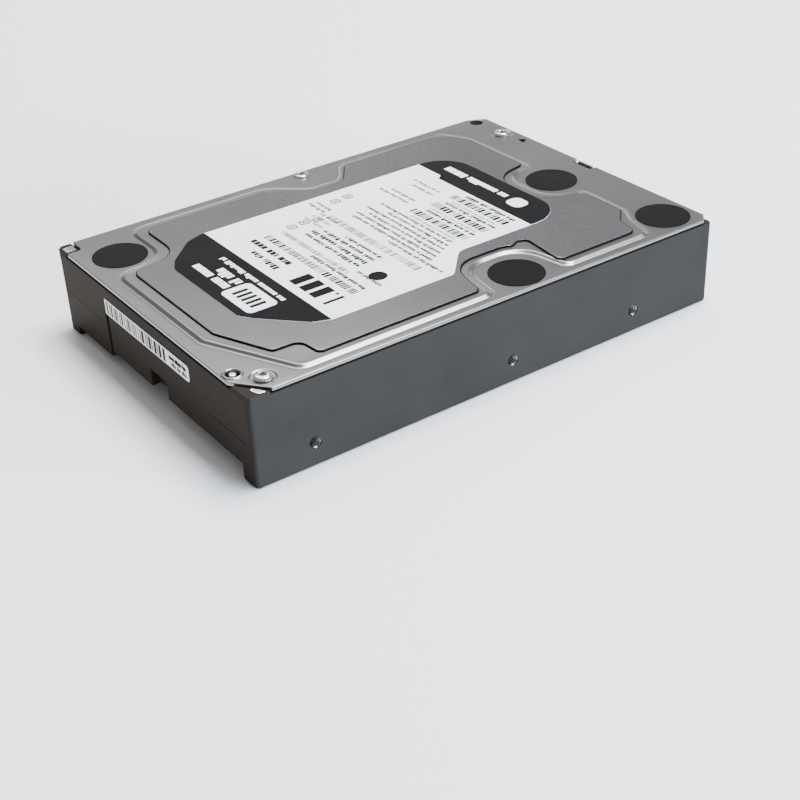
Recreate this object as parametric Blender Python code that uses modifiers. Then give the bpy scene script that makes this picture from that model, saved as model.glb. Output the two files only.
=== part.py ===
"""A 3.5-inch hard disk drive, built as the assembly of its separate pieces.

Plan positions are in millimetres from the drive's label-end, near-side bottom corner: x runs to the
connector end, y to the far side and z up. Every object is placed in metres about the bottom centre.
"""

import math

import bmesh
import bpy
from mathutils import Matrix, Vector

MM = 0.001
SHARP_ANGLE = math.radians(35.0)

# Overall size
LENGTH = 147.0
WIDTH = 101.6
HEIGHT = 26.1
CENTRE = (LENGTH / 2, WIDTH / 2)
END_FACE = 0.15
SEAT = 0.1
ABOVE = 30.0
BELOW = -3.0

# Levels above the bottom
RAIL_DEPTH = 2.4
BOARD_POCKET_TOP = 4.8
FLOOR = 7.0
RIM = 23.7
POST_TOP = 24.15
COVER_BOTTOM = 24.2
FLANGE_TOP = 25.0
PLATEAU_TOP = 25.6
PLATE_BOTTOM = 25.65
PLATE_TOP = 26.0
LABEL_BOTTOM = 26.02
BOARD_BOTTOM = 1.3
BOARD_TOP = 2.3
CHIP_HEIGHT = 1.0
PIN_PITCH = 2.54
PIN_WIDTH = 0.6
RAIL_INNER = (6.2, 95.4)
END_STEP_TOP = 4.3
NOTCH_TOP = 9.3
CONNECTOR_BAY_TOP = 6.9
CORNER_POST_TOP = FLANGE_TOP - 0.3

# Disk stack
SPINDLE = (50.3, 50.8)
BAY_RADIUS = 48.7
PLATTER_RADIUS = 47.5
PLATTER_BORE = 12.5
PLATTER_THICKNESS = 1.27
PLATTER_PITCH = 4.1
FIRST_PLATTER = 9.9
PLATTER_COUNT = 3
HUB_RADIUS = 12.3
HUB_TOP = 19.3
MOTOR_WELL_RADIUS = 17.5
MOTOR_WELL_FLOOR = 4.2
MOTOR_BOSS_RADIUS = 21.0
SLEEVE_RADIUS = 5.4
SLEEVE_BORE = 5.5
SPINDLE_SHAFT_RADIUS = 2.45
SPINDLE_RUNNING_BORE = 2.65
STATOR_TEETH = 9
TOOTH_HALF_ANGLE = 7.0
SPACER_RADIUS = 15.2
CLAMP_RADIUS = 16.0

# Actuator
PIVOT = (105.5, 35.0)
ARM_ANGLE = 108.1
ARM_REACH = 35.0
HEAD_REACH = 50.0
ARM_THICKNESS = 1.2
BARREL_RADIUS = 9.0
BARREL_BORE = 6.3
COIL_ANGLE = 320.0
COIL_BOTTOM = 13.1
COIL_TOP = 16.1
PRONG_ANGLES = (21.5, 24.5)
COIL_HALF_ANGLE = 20.5
YOKE_ANGLES = (293.0, 380.5)
YOKE_RADII = (12.0, 28.5)
MAGNET_RADII = (14.0, 26.4)
MAGNET_THICKNESS = 2.2
LOWER_YOKE_TOP = 10.1
UPPER_YOKE_SPAN = (19.1, 22.1)
LATCH_PIN = (98.0, 8.5)
LATCH_PIN_RADIUS = 0.9
LATCH_BORE = 1.1
LATCH_SPAN = (13.2, 16.0)
RAMP_ANGLES = (104.5, 111.5)

# Fasteners and holes
OPEN_SCREWS = [(8.0, 6.2), (77.0, 98.5), (142.5, 85.0)]
SEALED_SCREWS = [(11.0, 85.0), (130.5, 47.8), (85.4, 9.0), (137.5, 9.6)]
BOARD_SCREWS = [(66.0, 14.0), (66.0, 88.0), (136.0, 88.0), (134.5, 15.0)]
SCREW_HEAD_RADIUS = 2.35
SCREW_RADIUS = 1.25
TAPPED_RADIUS = 1.45
SEAT_RADIUS = 2.0
HEAD_HEIGHT = 0.8
COVER_HOLE_RADIUS = 1.55
SEALED_RECESS_RADIUS = 3.0
SEAL_RADIUS = 7.5
LOCATING_HOLE = (2.95, 11.6)
CORNER_HOLE = (142.3, 97.5)
BOARD_BOSS_RADIUS = 2.9
BOARD_HEAD_RADIUS = 2.3
YOKE_POST_RADIUS = 2.6
SIDE_HOLE_X = (16.9, 76.9, 118.5)
SIDE_HOLE_Z = 6.35
SIDE_HOLE_DEPTH = 3.8
MOUNT_HOLE_RADIUS = 1.6
BOTTOM_HOLE_DEPTH = 4.5
COVER_THREAD_END = 14.0
BOARD_THREAD_END = 6.3
BOTTOM_HOLE_X = (29.52, 61.27, 105.72)
BOTTOM_HOLE_INSET = 3.18
BREATHER = (132.0, 91.0)
BREATHER_RADIUS = 0.9

# Outlines as corners: x, y and corner radius, counter-clockwise
FLANGE = [
    (7.2, 0.5, 0.6), (144.0, 0.5, 0.6), (146.7, 3.2, 0.6), (146.7, 46.6, 0.0), (144.2, 46.6, 0.5),
    (144.2, 54.6, 0.5), (146.7, 54.6, 0.0), (146.7, 98.4, 0.8), (141.2, 101.3, 0.8),
    (4.6, 101.3, 0.5), (4.6, 95.2, 1.2), (0.3, 95.2, 0.5), (0.3, 9.2, 0.6),
]
FOOT = [
    (4.7, 29.0, 4.0), (16.8, 3.3, 4.0), (73.6, 3.3, 3.0), (75.5, 19.5, 8.5), (95.0, 19.5, 8.5),
    (97.6, 3.3, 3.0), (126.5, 3.3, 3.0), (129.0, 13.0, 4.0), (132.0, 18.5, 3.0), (132.0, 36.5, 2.0),
    (121.2, 38.4, 8.0), (121.2, 57.0, 8.0), (132.0, 59.4, 2.0), (132.0, 88.0, 2.5),
    (127.0, 97.0, 3.0), (89.5, 97.0, 3.5), (83.5, 88.0, 6.0), (73.5, 88.0, 6.0), (63.5, 97.0, 8.0),
    (19.4, 97.0, 5.0), (19.6, 75.4, 8.0), (4.7, 74.6, 5.0),
]
PLATE = [
    (8.5, 30.0, 4.0), (15.3, 13.8, 1.5), (22.8, 13.6, 3.0), (23.5, 6.2, 1.5), (71.2, 6.2, 1.8),
    (74.0, 21.9, 9.0), (91.0, 21.9, 7.0), (93.5, 20.5, 2.0), (96.0, 22.0, 1.5), (99.0, 21.0, 2.0),
    (97.6, 6.3, 1.5), (123.6, 6.3, 2.0), (125.3, 13.5, 3.0), (130.2, 18.5, 2.5), (130.2, 34.6, 2.0),
    (117.6, 35.6, 9.5), (117.6, 58.6, 9.5), (130.2, 60.6, 2.0), (130.2, 86.2, 2.0),
    (125.2, 94.4, 2.5), (89.8, 94.1, 2.0), (83.2, 84.9, 6.0), (72.6, 84.9, 6.0), (62.0, 93.3, 8.0),
    (23.0, 93.3, 3.0), (22.9, 73.2, 8.0), (8.5, 72.5, 3.5),
]
LABEL = [
    (17.3, 33.5, 3.0), (19.8, 29.6, 2.0), (29.5, 19.0, 3.0), (34.3, 17.0, 1.0), (71.5, 17.0, 3.0),
    (80.5, 26.8, 5.0), (117.8, 26.8, 10.5), (117.8, 80.3, 10.5), (33.0, 80.3, 3.0), (28.0, 78.5, 2.0),
    (19.8, 70.5, 2.0), (17.3, 66.0, 3.0),
]
ACTUATOR_BAY = [
    (76.0, 14.0, 0.5), (90.0, 14.0, 2.0), (93.0, 4.4, 1.5), (131.0, 4.4, 2.0), (134.0, 14.0, 2.0),
    (138.0, 15.0, 1.0), (138.0, 93.5, 3.0), (134.0, 97.2, 3.0), (86.0, 97.2, 2.0), (82.0, 91.0, 2.0),
    (76.0, 88.0, 0.5),
]
BOARD = [
    (60.0, 8.0, 2.0), (139.4, 8.0, 1.0), (139.4, 56.5, 0.5), (146.2, 56.5, 0.5), (146.2, 93.6, 1.5),
    (60.0, 93.6, 2.0),
]
CASE = [(END_FACE, 0.0, 1.0), (LENGTH, 0.0, 1.5), (LENGTH, WIDTH, 1.5), (END_FACE, WIDTH, 1.5)]
NEAR_POST = [(END_FACE, 0.9, 0.0), (0.9, 0.0, 0.0), (6.6, 0.0, 0.0), (END_FACE, 8.6, 0.0)]
FAR_POST = [
    (END_FACE, 95.6, 0.0), (4.2, 95.6, 0.0), (4.2, WIDTH, 0.0), (1.2, WIDTH, 0.0),
    (END_FACE, 100.5, 0.0),
]
RECIRCULATION_PAD = [(100.0, 91.5, 1.0), (112.0, 91.5, 1.0), (112.0, 95.5, 1.0), (100.0, 95.5, 1.0)]
DESICCANT = [(130.5, 57.0, 1.5), (137.2, 57.0, 1.5), (137.2, 70.0, 1.5), (130.5, 70.0, 1.5)]
BOARD_PAD = [
    (74.0, 14.0, 3.0), (128.0, 14.0, 3.0), (128.0, 76.0, 3.0), (80.0, 76.0, 3.0), (76.0, 50.0, 4.0),
]

parts = bpy.data.collections.new("hard_disk_drive")
cutters = bpy.data.collections.new("cutters")


# ---------------------------------------------------------------- outlines

def rounded(corners, step=24.0):
    """Points of an outline given by its corners, with an arc at each corner that has a radius."""
    points = []
    for i, (x, y, radius) in enumerate(corners):
        here = Vector((x, y))
        before = Vector(corners[i - 1][:2])
        after = Vector(corners[(i + 1) % len(corners)][:2])
        back = (before - here).normalized()
        ahead = (after - here).normalized()
        turn = math.pi - back.angle(ahead)
        if radius <= 0.0 or turn < 0.02:
            points.append((x, y))
            continue
        reach = radius * math.tan(turn / 2)
        start = here + back * reach
        end = here + ahead * reach
        bisector = (back + ahead).normalized()
        middle = here + bisector * (radius / math.cos(turn / 2))
        count = max(1, math.ceil(math.degrees(turn) / step))
        first = start - middle
        sign = 1.0 if first.x * (end - middle).y - first.y * (end - middle).x > 0 else -1.0
        for k in range(count + 1):
            spin = Matrix.Rotation(sign * turn * k / count, 2)
            points.append(tuple(middle + spin @ first))
    return points


def offset(corners, distance):
    """The corners moved inwards by a distance (outwards if negative), with their radii to match."""
    moved = []
    for i, (x, y, radius) in enumerate(corners):
        here = Vector((x, y))
        into = (here - Vector(corners[i - 1][:2])).normalized()
        out = (Vector(corners[(i + 1) % len(corners)][:2]) - here).normalized()
        normal_in = Vector((-into.y, into.x))
        normal_out = Vector((-out.y, out.x))
        shift = (normal_in + normal_out) * (distance / (1.0 + normal_in.dot(normal_out)))
        convex = into.x * out.y - into.y * out.x > 0
        new_radius = radius - distance if convex else radius + distance
        moved.append((x + shift.x, y + shift.y, max(new_radius, 0.0)))
    return moved


def polar(reach, angle, centre=PIVOT):
    """The point at a distance and angle in degrees from a centre."""
    turn = math.radians(angle)
    return (centre[0] + reach * math.cos(turn), centre[1] + reach * math.sin(turn))


def sector(inner, outer, start, end, centre=PIVOT, step=8.0):
    """An outline between two radii and two angles in degrees."""
    count = max(1, round((end - start) / step))
    angles = [start + (end - start) * k / count for k in range(count + 1)]
    return [polar(outer, a, centre) for a in angles] + [polar(inner, a, centre) for a in reversed(angles)]


def strip(reach_a, half_a, reach_b, half_b, angle):
    """A tapered strip along a direction from the pivot, given by its half widths at two reaches."""
    turn = math.radians(angle)
    along = Vector((math.cos(turn), math.sin(turn)))
    side = Vector((-along.y, along.x))
    base = Vector(PIVOT)
    return [
        tuple(base + along * reach_a - side * half_a), tuple(base + along * reach_b - side * half_b),
        tuple(base + along * reach_b + side * half_b), tuple(base + along * reach_a + side * half_a),
    ]


# ---------------------------------------------------------------- building blocks

def place(x, y, z=0.0):
    """The scene position of a plan point."""
    return Vector(((x - CENTRE[0]) * MM, (y - CENTRE[1]) * MM, z * MM))


def keep(name, mesh, origin, collection=parts):
    """Link a mesh, shaded smooth up to its sharp edges, as an object with the given plan point as origin."""
    mesh.name = name
    mesh.shade_smooth()
    mesh.set_sharp_from_angle(angle=SHARP_ANGLE)
    thing = bpy.data.objects.new(name, mesh)
    thing.location = place(*origin)
    collection.objects.link(thing)
    if collection is cutters:
        thing.hide_render = True
        thing.display_type = "WIRE"
    return thing


def evaluated_mesh(guide):
    """The mesh that a curve or a modified profile gives; the guide itself is removed."""
    cutters.objects.link(guide)
    mesh = bpy.data.meshes.new_from_object(guide.evaluated_get(bpy.context.evaluated_depsgraph_get()))
    bpy.data.objects.remove(guide)
    return mesh


def prism(name, loops, bottom, top, origin=CENTRE, collection=parts):
    """A flat outline, with any holes after its first loop, given thickness between two levels."""
    curve = bpy.data.curves.new(name + "_outline", "CURVE")
    curve.dimensions = "2D"
    curve.fill_mode = "BOTH"
    curve.extrude = (top - bottom) / 2 * MM
    for loop in loops:
        spline = curve.splines.new("POLY")
        spline.points.add(len(loop) - 1)
        for point, (x, y) in zip(spline.points, loop):
            point.co = ((x - origin[0]) * MM, (y - origin[1]) * MM, 0.0, 1.0)
        spline.use_cyclic_u = True
    mesh = evaluated_mesh(bpy.data.objects.new(name + "_outline", curve))
    bm = bmesh.new()
    bm.from_mesh(mesh)
    bmesh.ops.remove_doubles(bm, verts=bm.verts, dist=0.001 * MM)
    bmesh.ops.dissolve_limit(bm, angle_limit=0.001, verts=bm.verts, edges=bm.edges)
    bmesh.ops.translate(bm, verts=bm.verts, vec=(0.0, 0.0, (top + bottom) / 2 * MM))
    bmesh.ops.recalc_face_normals(bm, faces=bm.faces)
    bm.to_mesh(mesh)
    bm.free()
    return keep(name, mesh, origin, collection)


def shifted(point, origin):
    """The move that carries the world's origin to a point, measured from a piece's own origin."""
    return Matrix.Translation(((point[0] - origin[0]) * MM, (point[1] - origin[1]) * MM, point[2] * MM))


def boxes(name, spans, origin=CENTRE, collection=parts):
    """One mesh of separate boxes, each given by its low and high corners."""
    bm = bmesh.new()
    for low, high in spans:
        size = [h - l for l, h in zip(low, high)]
        middle = [(h + l) / 2 for l, h in zip(low, high)]
        move = shifted(middle, origin)
        grow = Matrix.Diagonal((size[0] * MM, size[1] * MM, size[2] * MM, 1.0))
        bmesh.ops.create_cube(bm, size=1.0, matrix=move @ grow)
    mesh = bpy.data.meshes.new(name)
    bm.to_mesh(mesh)
    bm.free()
    return keep(name, mesh, origin, collection)


def rods(name, centres, radius, bottom, top, segments=16, origin=CENTRE, collection=parts, along="Z"):
    """One mesh of separate round rods; along Z between two levels, or along Y between two depths."""
    bm = bmesh.new()
    turn = Matrix.Rotation(math.radians(90), 4, "X") if along == "Y" else Matrix.Identity(4)
    for x, y, *level in centres:
        if along == "Y":
            middle = (x, (top + bottom) / 2, level[0])
        else:
            middle = (x, y, (top + bottom) / 2)
        move = shifted(middle, origin)
        bmesh.ops.create_cone(
            bm, cap_ends=True, segments=segments, radius1=radius * MM, radius2=radius * MM,
            depth=(top - bottom) * MM, matrix=move @ turn,
        )
    mesh = bpy.data.meshes.new(name)
    bm.to_mesh(mesh)
    bm.free()
    return keep(name, mesh, origin, collection)


def turned(name, profile, centre, segments=32, closed=False):
    """A turned piece: a profile of radius and height, top to bottom down its outer side."""
    bm = bmesh.new()
    verts = [bm.verts.new((r * MM, 0.0, z * MM)) for r, z in profile]
    for a, b in zip(verts, verts[1:]):
        bm.edges.new((a, b))
    if closed:
        bm.edges.new((verts[-1], verts[0]))
    mesh = bpy.data.meshes.new(name + "_profile")
    bm.to_mesh(mesh)
    bm.free()
    guide = bpy.data.objects.new(name + "_profile", mesh)
    screw = guide.modifiers.new("turn", "SCREW")
    screw.steps = segments
    screw.render_steps = segments
    screw.use_merge_vertices = True
    screw.merge_threshold = 0.00002
    return keep(name, evaluated_mesh(guide), centre)


def ring(name, inner, outer, bottom, top, centre, segments=32):
    """A flat washer-like ring."""
    return turned(name, [(outer, top), (outer, bottom), (inner, bottom), (inner, top)], centre, segments,
                  True)


def combine(target, tool, operation):
    """Add or take away one object's volume, keeping the tool among the cutters."""
    step = target.modifiers.new(operation.lower(), "BOOLEAN")
    step.operation = operation
    step.solver = "EXACT"
    step.object = tool
    return target


def loft(name, levels, origin=CENTRE, collection=parts):
    """A solid through outlines with equal point counts, each with its level, bottom first."""
    bm = bmesh.new()
    rings = []
    for points, z in levels:
        rings.append([bm.verts.new(((x - origin[0]) * MM, (y - origin[1]) * MM, z * MM)) for x, y in points])
    for low, high in zip(rings, rings[1:]):
        for i in range(len(low)):
            j = (i + 1) % len(low)
            bm.faces.new((low[i], low[j], high[j], high[i]))
    bm.faces.new(list(reversed(rings[0])))
    bm.faces.new(rings[-1])
    mesh = bpy.data.meshes.new(name)
    bm.to_mesh(mesh)
    bm.free()
    return keep(name, mesh, origin, collection)


def finish(piece, colour, roughness, metallic=0.0):
    """Give a piece its own material."""
    surface = bpy.data.materials.new(piece.name + "_material")
    surface.use_nodes = True
    shader = surface.node_tree.nodes["Principled BSDF"]
    shader.inputs["Base Color"].default_value = (*colour, 1.0)
    shader.inputs["Roughness"].default_value = roughness
    shader.inputs["Metallic"].default_value = metallic
    piece.data.materials.append(surface)
    return piece


# ---------------------------------------------------------------- casings

def casting_cutters():
    """What is taken from the casting's block, apart from the tapped holes."""
    near, far = RAIL_INNER
    bay = rods("cut_disk_bay", [SPINDLE], BAY_RADIUS, FLOOR, ABOVE, 56, collection=cutters)
    arm_bay = prism("cut_actuator_bay", [rounded(ACTUATOR_BAY)], FLOOR, ABOVE, collection=cutters)
    pocket = boxes("cut_rail_pocket", [((-1.0, near, -1.0), (148.0, far, RAIL_DEPTH))], collection=cutters)
    board = boxes("cut_board_pocket", [((55.0, near, -2.0), (149.0, far, BOARD_POCKET_TOP))],
                  collection=cutters)
    boss = rods("keep_motor_boss", [SPINDLE], MOTOR_BOSS_RADIUS, BELOW, FLOOR, 28, collection=cutters)
    combine(board, boss, "DIFFERENCE")
    bosses = rods("keep_board_bosses", BOARD_SCREWS, BOARD_BOSS_RADIUS, RAIL_DEPTH, FLOOR,
                  collection=cutters)
    combine(board, bosses, "DIFFERENCE")
    end_step = boxes("cut_end_step", [((-1.0, 6.0, -2.0), (5.5, 74.0, END_STEP_TOP))], collection=cutters)
    notch = boxes("cut_end_notch", [((-1.0, 42.5, BELOW), (2.6, 51.0, NOTCH_TOP))], collection=cutters)
    plugs = boxes("cut_connector_bay", [((139.2, 9.5, BELOW), (150.0, 73.0, CONNECTOR_BAY_TOP))],
                  collection=cutters)
    well = rods("cut_motor_well", [SPINDLE], MOTOR_WELL_RADIUS, MOTOR_WELL_FLOOR, ABOVE, 28,
                collection=cutters)
    bore = rods("cut_sleeve_bore", [SPINDLE], SLEEVE_BORE, BELOW, ABOVE, 20, collection=cutters)
    slot = boxes("cut_connector_slot", [((115.0, 78.0, BELOW), (129.0, 84.0, ABOVE))], collection=cutters)
    breather = rods("cut_breather", [BREATHER], BREATHER_RADIUS, BELOW, ABOVE, 12, collection=cutters)
    return [bay, arm_bay, pocket, board, end_step, notch, plugs, well, bore, slot, breather]


def base_casting():
    casting = prism("base_casting", [rounded(CASE)], 0.0, RIM)
    for cutter in casting_cutters():
        combine(casting, cutter, "DIFFERENCE")
    for label, outline in (("near", NEAR_POST), ("far", FAR_POST)):
        corner = prism(f"add_{label}_post", [rounded(outline)], RIM - 2.0, CORNER_POST_TOP,
                       collection=cutters)
        combine(casting, corner, "UNION")
    rim_screws = OPEN_SCREWS + SEALED_SCREWS[:1] + SEALED_SCREWS[2:]
    posts = rods("add_screw_seats", rim_screws, SEAT_RADIUS, RIM - 2.0, POST_TOP, 20, collection=cutters)
    combine(casting, posts, "UNION")
    yoke_post = rods("add_yoke_post", SEALED_SCREWS[1:2], YOKE_POST_RADIUS, FLOOR - 1.0, POST_TOP, 20,
                     collection=cutters)
    combine(casting, yoke_post, "UNION")
    latch_pin = rods("add_latch_pin", [LATCH_PIN], LATCH_PIN_RADIUS, FLOOR - 1.0, LATCH_SPAN[1] + 1.5, 12,
                     collection=cutters)
    combine(casting, latch_pin, "UNION")
    tapped = rods("cut_cover_threads", OPEN_SCREWS + SEALED_SCREWS, TAPPED_RADIUS, COVER_THREAD_END,
                  ABOVE, 12,
                  collection=cutters)
    bottom = [(x, y) for x in BOTTOM_HOLE_X for y in (BOTTOM_HOLE_INSET, WIDTH - BOTTOM_HOLE_INSET)]
    below = rods("cut_bottom_threads", bottom, MOUNT_HOLE_RADIUS, BELOW, BOTTOM_HOLE_DEPTH, 20,
                 collection=cutters)
    board = rods("cut_board_threads", BOARD_SCREWS, TAPPED_RADIUS, BELOW, BOARD_THREAD_END, 12,
                 collection=cutters)
    sides = [(x, 0.0, SIDE_HOLE_Z) for x in SIDE_HOLE_X]
    near = rods("cut_near_threads", sides, MOUNT_HOLE_RADIUS, BELOW, SIDE_HOLE_DEPTH, 20, collection=cutters,
                along="Y")
    far = rods("cut_far_threads", sides, MOUNT_HOLE_RADIUS, WIDTH - SIDE_HOLE_DEPTH, WIDTH - BELOW, 20,
               collection=cutters, along="Y")
    for holes in (tapped, below, board, near, far):
        combine(casting, holes, "DIFFERENCE")
    return finish(casting, (0.03, 0.03, 0.033), 0.35, 0.2)


def top_cover():
    holes = OPEN_SCREWS + [CORNER_HOLE, LOCATING_HOLE]
    cover = prism("top_cover", [rounded(FLANGE, 45.0)], COVER_BOTTOM, FLANGE_TOP)
    foot = rounded(FOOT)
    shoulder = rounded(offset(FOOT, 1.2))
    plateau = loft("add_plateau",
                   [(shoulder, COVER_BOTTOM + 0.2), (foot, FLANGE_TOP), (shoulder, PLATEAU_TOP)],
                   collection=cutters)
    combine(cover, plateau, "UNION")
    recess = prism("cut_plateau_recess", [rounded(offset(FOOT, 3.2))], COVER_BOTTOM - 1.0,
                   COVER_BOTTOM + 0.4,
                   collection=cutters)
    combine(cover, recess, "DIFFERENCE")
    through = rods("cut_screw_holes", holes + SEALED_SCREWS, COVER_HOLE_RADIUS, 20.0, ABOVE, 16,
                   collection=cutters)
    combine(cover, through, "DIFFERENCE")
    wide = rods("cut_sealed_recesses", SEALED_SCREWS, SEALED_RECESS_RADIUS, COVER_BOTTOM + 0.25, ABOVE, 20,
                collection=cutters)
    combine(cover, wide, "DIFFERENCE")
    return finish(cover, (0.25, 0.26, 0.27), 0.4, 0.9)


def cover_gasket():
    setback = 0.2
    band = 1.1
    low = RIM + 0.05
    high = COVER_BOTTOM - 0.05
    gasket = rods("cover_gasket", [SPINDLE], BAY_RADIUS + setback + band, low, high, 56)
    outer = prism("add_gasket_bay", [rounded(offset(ACTUATOR_BAY, -setback - band))], low, high,
                  collection=cutters)
    combine(gasket, outer, "UNION")
    disk_opening = rods("cut_gasket_disk", [SPINDLE], BAY_RADIUS + setback, 20.0, ABOVE, 56,
                        collection=cutters)
    arm_opening = prism("cut_gasket_bay", [rounded(offset(ACTUATOR_BAY, -setback))], 20.0, ABOVE,
                        collection=cutters)
    combine(gasket, disk_opening, "DIFFERENCE")
    combine(gasket, arm_opening, "DIFFERENCE")
    return finish(gasket, (0.02, 0.02, 0.02), 0.8)


def damping_plate():
    plate = prism("damping_plate", [rounded(PLATE)], PLATE_BOTTOM, PLATE_TOP)
    return finish(plate, (0.3, 0.31, 0.32), 0.35, 0.95)


def top_label():
    label = prism("top_label", [rounded(LABEL)], LABEL_BOTTOM, HEIGHT)
    return finish(label, (0.8, 0.8, 0.78), 0.5)


def end_label():
    label = boxes("end_label", [((0.0, 28.5, 15.8), (0.1, 73.8, 20.3))])
    return finish(label, (0.8, 0.8, 0.78), 0.5)


def sealing_discs():
    for i, centre in enumerate(SEALED_SCREWS, 1):
        disc = rods(f"sealing_disc_{i}", [centre], SEAL_RADIUS, FLANGE_TOP + 0.05, FLANGE_TOP + 0.2, 24)
        finish(disc, (0.02, 0.02, 0.02), 0.6)


def pan_screw(name, centre, seat, length):
    """A pan-head screw whose head rests on the seat and whose shank points down."""
    crown = seat + HEAD_HEIGHT
    profile = [
        (0.0, crown), (SCREW_HEAD_RADIUS - 0.6, crown), (SCREW_HEAD_RADIUS, crown - 0.45),
        (SCREW_HEAD_RADIUS, seat), (SCREW_RADIUS, seat), (SCREW_RADIUS, seat - length + 0.5),
        (SCREW_RADIUS - 0.4, seat - length), (0.0, seat - length),
    ]
    return finish(turned(name, profile, centre, 14), (0.6, 0.6, 0.6), 0.3, 1.0)


def cover_screws():
    for i, centre in enumerate(OPEN_SCREWS, 1):
        pan_screw(f"cover_screw_{i}", centre, FLANGE_TOP + 0.05, 8.0)
    for i, centre in enumerate(SEALED_SCREWS, len(OPEN_SCREWS) + 1):
        seat = COVER_BOTTOM + 0.3
        flat = seat + 0.5
        profile = [
            (0.0, flat), (SCREW_HEAD_RADIUS, flat), (SCREW_HEAD_RADIUS, seat), (SCREW_RADIUS, seat),
            (SCREW_RADIUS, seat - 7.5), (0.0, seat - 7.5),
        ]
        finish(turned(f"cover_screw_{i}", profile, centre, 12), (0.6, 0.6, 0.6), 0.3, 1.0)


def filters():
    breather = rods("breather_filter", [BREATHER], 4.2, FLOOR + SEAT, FLOOR + 3.0, 24)
    finish(breather, (0.7, 0.7, 0.68), 0.9)
    pad = prism("recirculation_filter", [rounded(RECIRCULATION_PAD)], FLOOR + 0.3, 20.0)
    finish(pad, (0.75, 0.75, 0.72), 0.95)
    pouch = prism("desiccant_pouch", [rounded(DESICCANT)], FLOOR + SEAT, 16.0)
    finish(pouch, (0.8, 0.8, 0.78), 0.9)


# ---------------------------------------------------------------- disk stack

def spindle_motor():
    sleeve = [
        (0.0, 3.7), (SPINDLE_RUNNING_BORE, 3.7), (SPINDLE_RUNNING_BORE, 13.0), (SLEEVE_RADIUS, 13.0),
        (SLEEVE_RADIUS, RAIL_DEPTH), (0.0, RAIL_DEPTH),
    ]
    finish(turned("spindle_sleeve", sleeve, SPINDLE, 20), (0.5, 0.4, 0.25), 0.35, 1.0)
    stator = ring("spindle_stator", 6.4, 7.8, MOTOR_WELL_FLOOR + 0.4, 9.0, SPINDLE, 27)
    for k in range(STATOR_TEETH):
        angle = 360.0 * k / STATOR_TEETH
        tooth = sector(7.4, 10.2, angle - TOOTH_HALF_ANGLE, angle + TOOTH_HALF_ANGLE, SPINDLE,
                       TOOTH_HALF_ANGLE)
        arm = prism(f"add_tooth_{k}", [tooth], MOTOR_WELL_FLOOR + 0.9, 8.4, origin=SPINDLE,
                    collection=cutters)
        combine(stator, arm, "UNION")
    finish(stator, (0.5, 0.25, 0.12), 0.4, 0.8)
    hub = [
        (0.0, 14.5), (1.6, 14.5), (1.6, HUB_TOP), (HUB_RADIUS, HUB_TOP), (HUB_RADIUS, 9.8), (16.5, 9.8),
        (16.5, 8.6), (12.0, 8.6), (12.0, 5.2), (10.7, 5.2), (10.7, 10.4), (5.9, 10.4), (5.9, 13.4),
        (SPINDLE_SHAFT_RADIUS, 13.4), (SPINDLE_SHAFT_RADIUS, 4.0), (0.0, 4.0),
    ]
    finish(turned("spindle_hub", hub, SPINDLE, 28), (0.7, 0.71, 0.72), 0.25, 1.0)


def disk_stack():
    for i in range(PLATTER_COUNT):
        low = FIRST_PLATTER + i * PLATTER_PITCH
        high = low + PLATTER_THICKNESS
        platter = ring(f"platter_{i + 1}", PLATTER_BORE, PLATTER_RADIUS, low, high, SPINDLE, 48)
        finish(platter, (0.75, 0.75, 0.76), 0.04, 1.0)
        if i < PLATTER_COUNT - 1:
            spacer = ring(f"platter_spacer_{i + 1}", PLATTER_BORE, SPACER_RADIUS, high + SEAT,
                          low + PLATTER_PITCH - SEAT, SPINDLE, 28)
            finish(spacer, (0.7, 0.7, 0.7), 0.3, 1.0)
    top = FIRST_PLATTER + (PLATTER_COUNT - 1) * PLATTER_PITCH + PLATTER_THICKNESS + SEAT
    clamp = [(CLAMP_RADIUS, top + 0.8), (CLAMP_RADIUS, top), (1.8, top), (1.8, top + 1.4), (9.0, top + 1.4)]
    finish(turned("disk_clamp", clamp, SPINDLE, 28, True), (0.6, 0.6, 0.61), 0.3, 1.0)
    seat = top + 1.5
    screw = [(0.0, seat + 1.3), (3.6, seat + 1.3), (4.2, seat + 0.8), (4.2, seat), (1.4, seat), (1.4, 15.0),
             (0.0, 15.0)]
    finish(turned("clamp_screw", screw, SPINDLE, 16), (0.6, 0.6, 0.6), 0.3, 1.0)


# ---------------------------------------------------------------- actuator

def arm_levels():
    """The bottom level of each actuator arm, one under each platter and one over the top."""
    gap = PLATTER_PITCH - PLATTER_THICKNESS
    first = FIRST_PLATTER - gap / 2 - ARM_THICKNESS / 2
    return [first + i * PLATTER_PITCH for i in range(PLATTER_COUNT + 1)]


def actuator_block():
    levels = arm_levels()
    block = ring("actuator_block", BARREL_BORE, BARREL_RADIUS, levels[0], levels[-1] + ARM_THICKNESS,
                 PIVOT, 32)
    for i, low in enumerate(levels):
        arm = strip(BARREL_BORE + 0.7, 6.0, ARM_REACH, 3.4, ARM_ANGLE)
        window = strip(14.0, 2.6, 26.0, 1.6, ARM_ANGLE)
        plate = prism(f"add_arm_{i}", [arm, window], low, low + ARM_THICKNESS, origin=PIVOT,
                      collection=cutters)
        combine(block, plate, "UNION")
    for i, side in enumerate((-1.0, 1.0)):
        low, high = sorted(COIL_ANGLE + side * angle for angle in PRONG_ANGLES)
        prong = sector(BARREL_RADIUS - 1.0, 26.5, low, high, step=3.0)
        fork = prism(f"add_prong_{i}", [prong], COIL_BOTTOM, COIL_TOP, origin=PIVOT, collection=cutters)
        combine(block, fork, "UNION")
    bore = rods("cut_barrel_bore", [PIVOT], BARREL_BORE, 0.0, ABOVE, 32, origin=PIVOT, collection=cutters)
    combine(block, bore, "DIFFERENCE")
    finish(block, (0.62, 0.62, 0.63), 0.35, 1.0)


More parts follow.
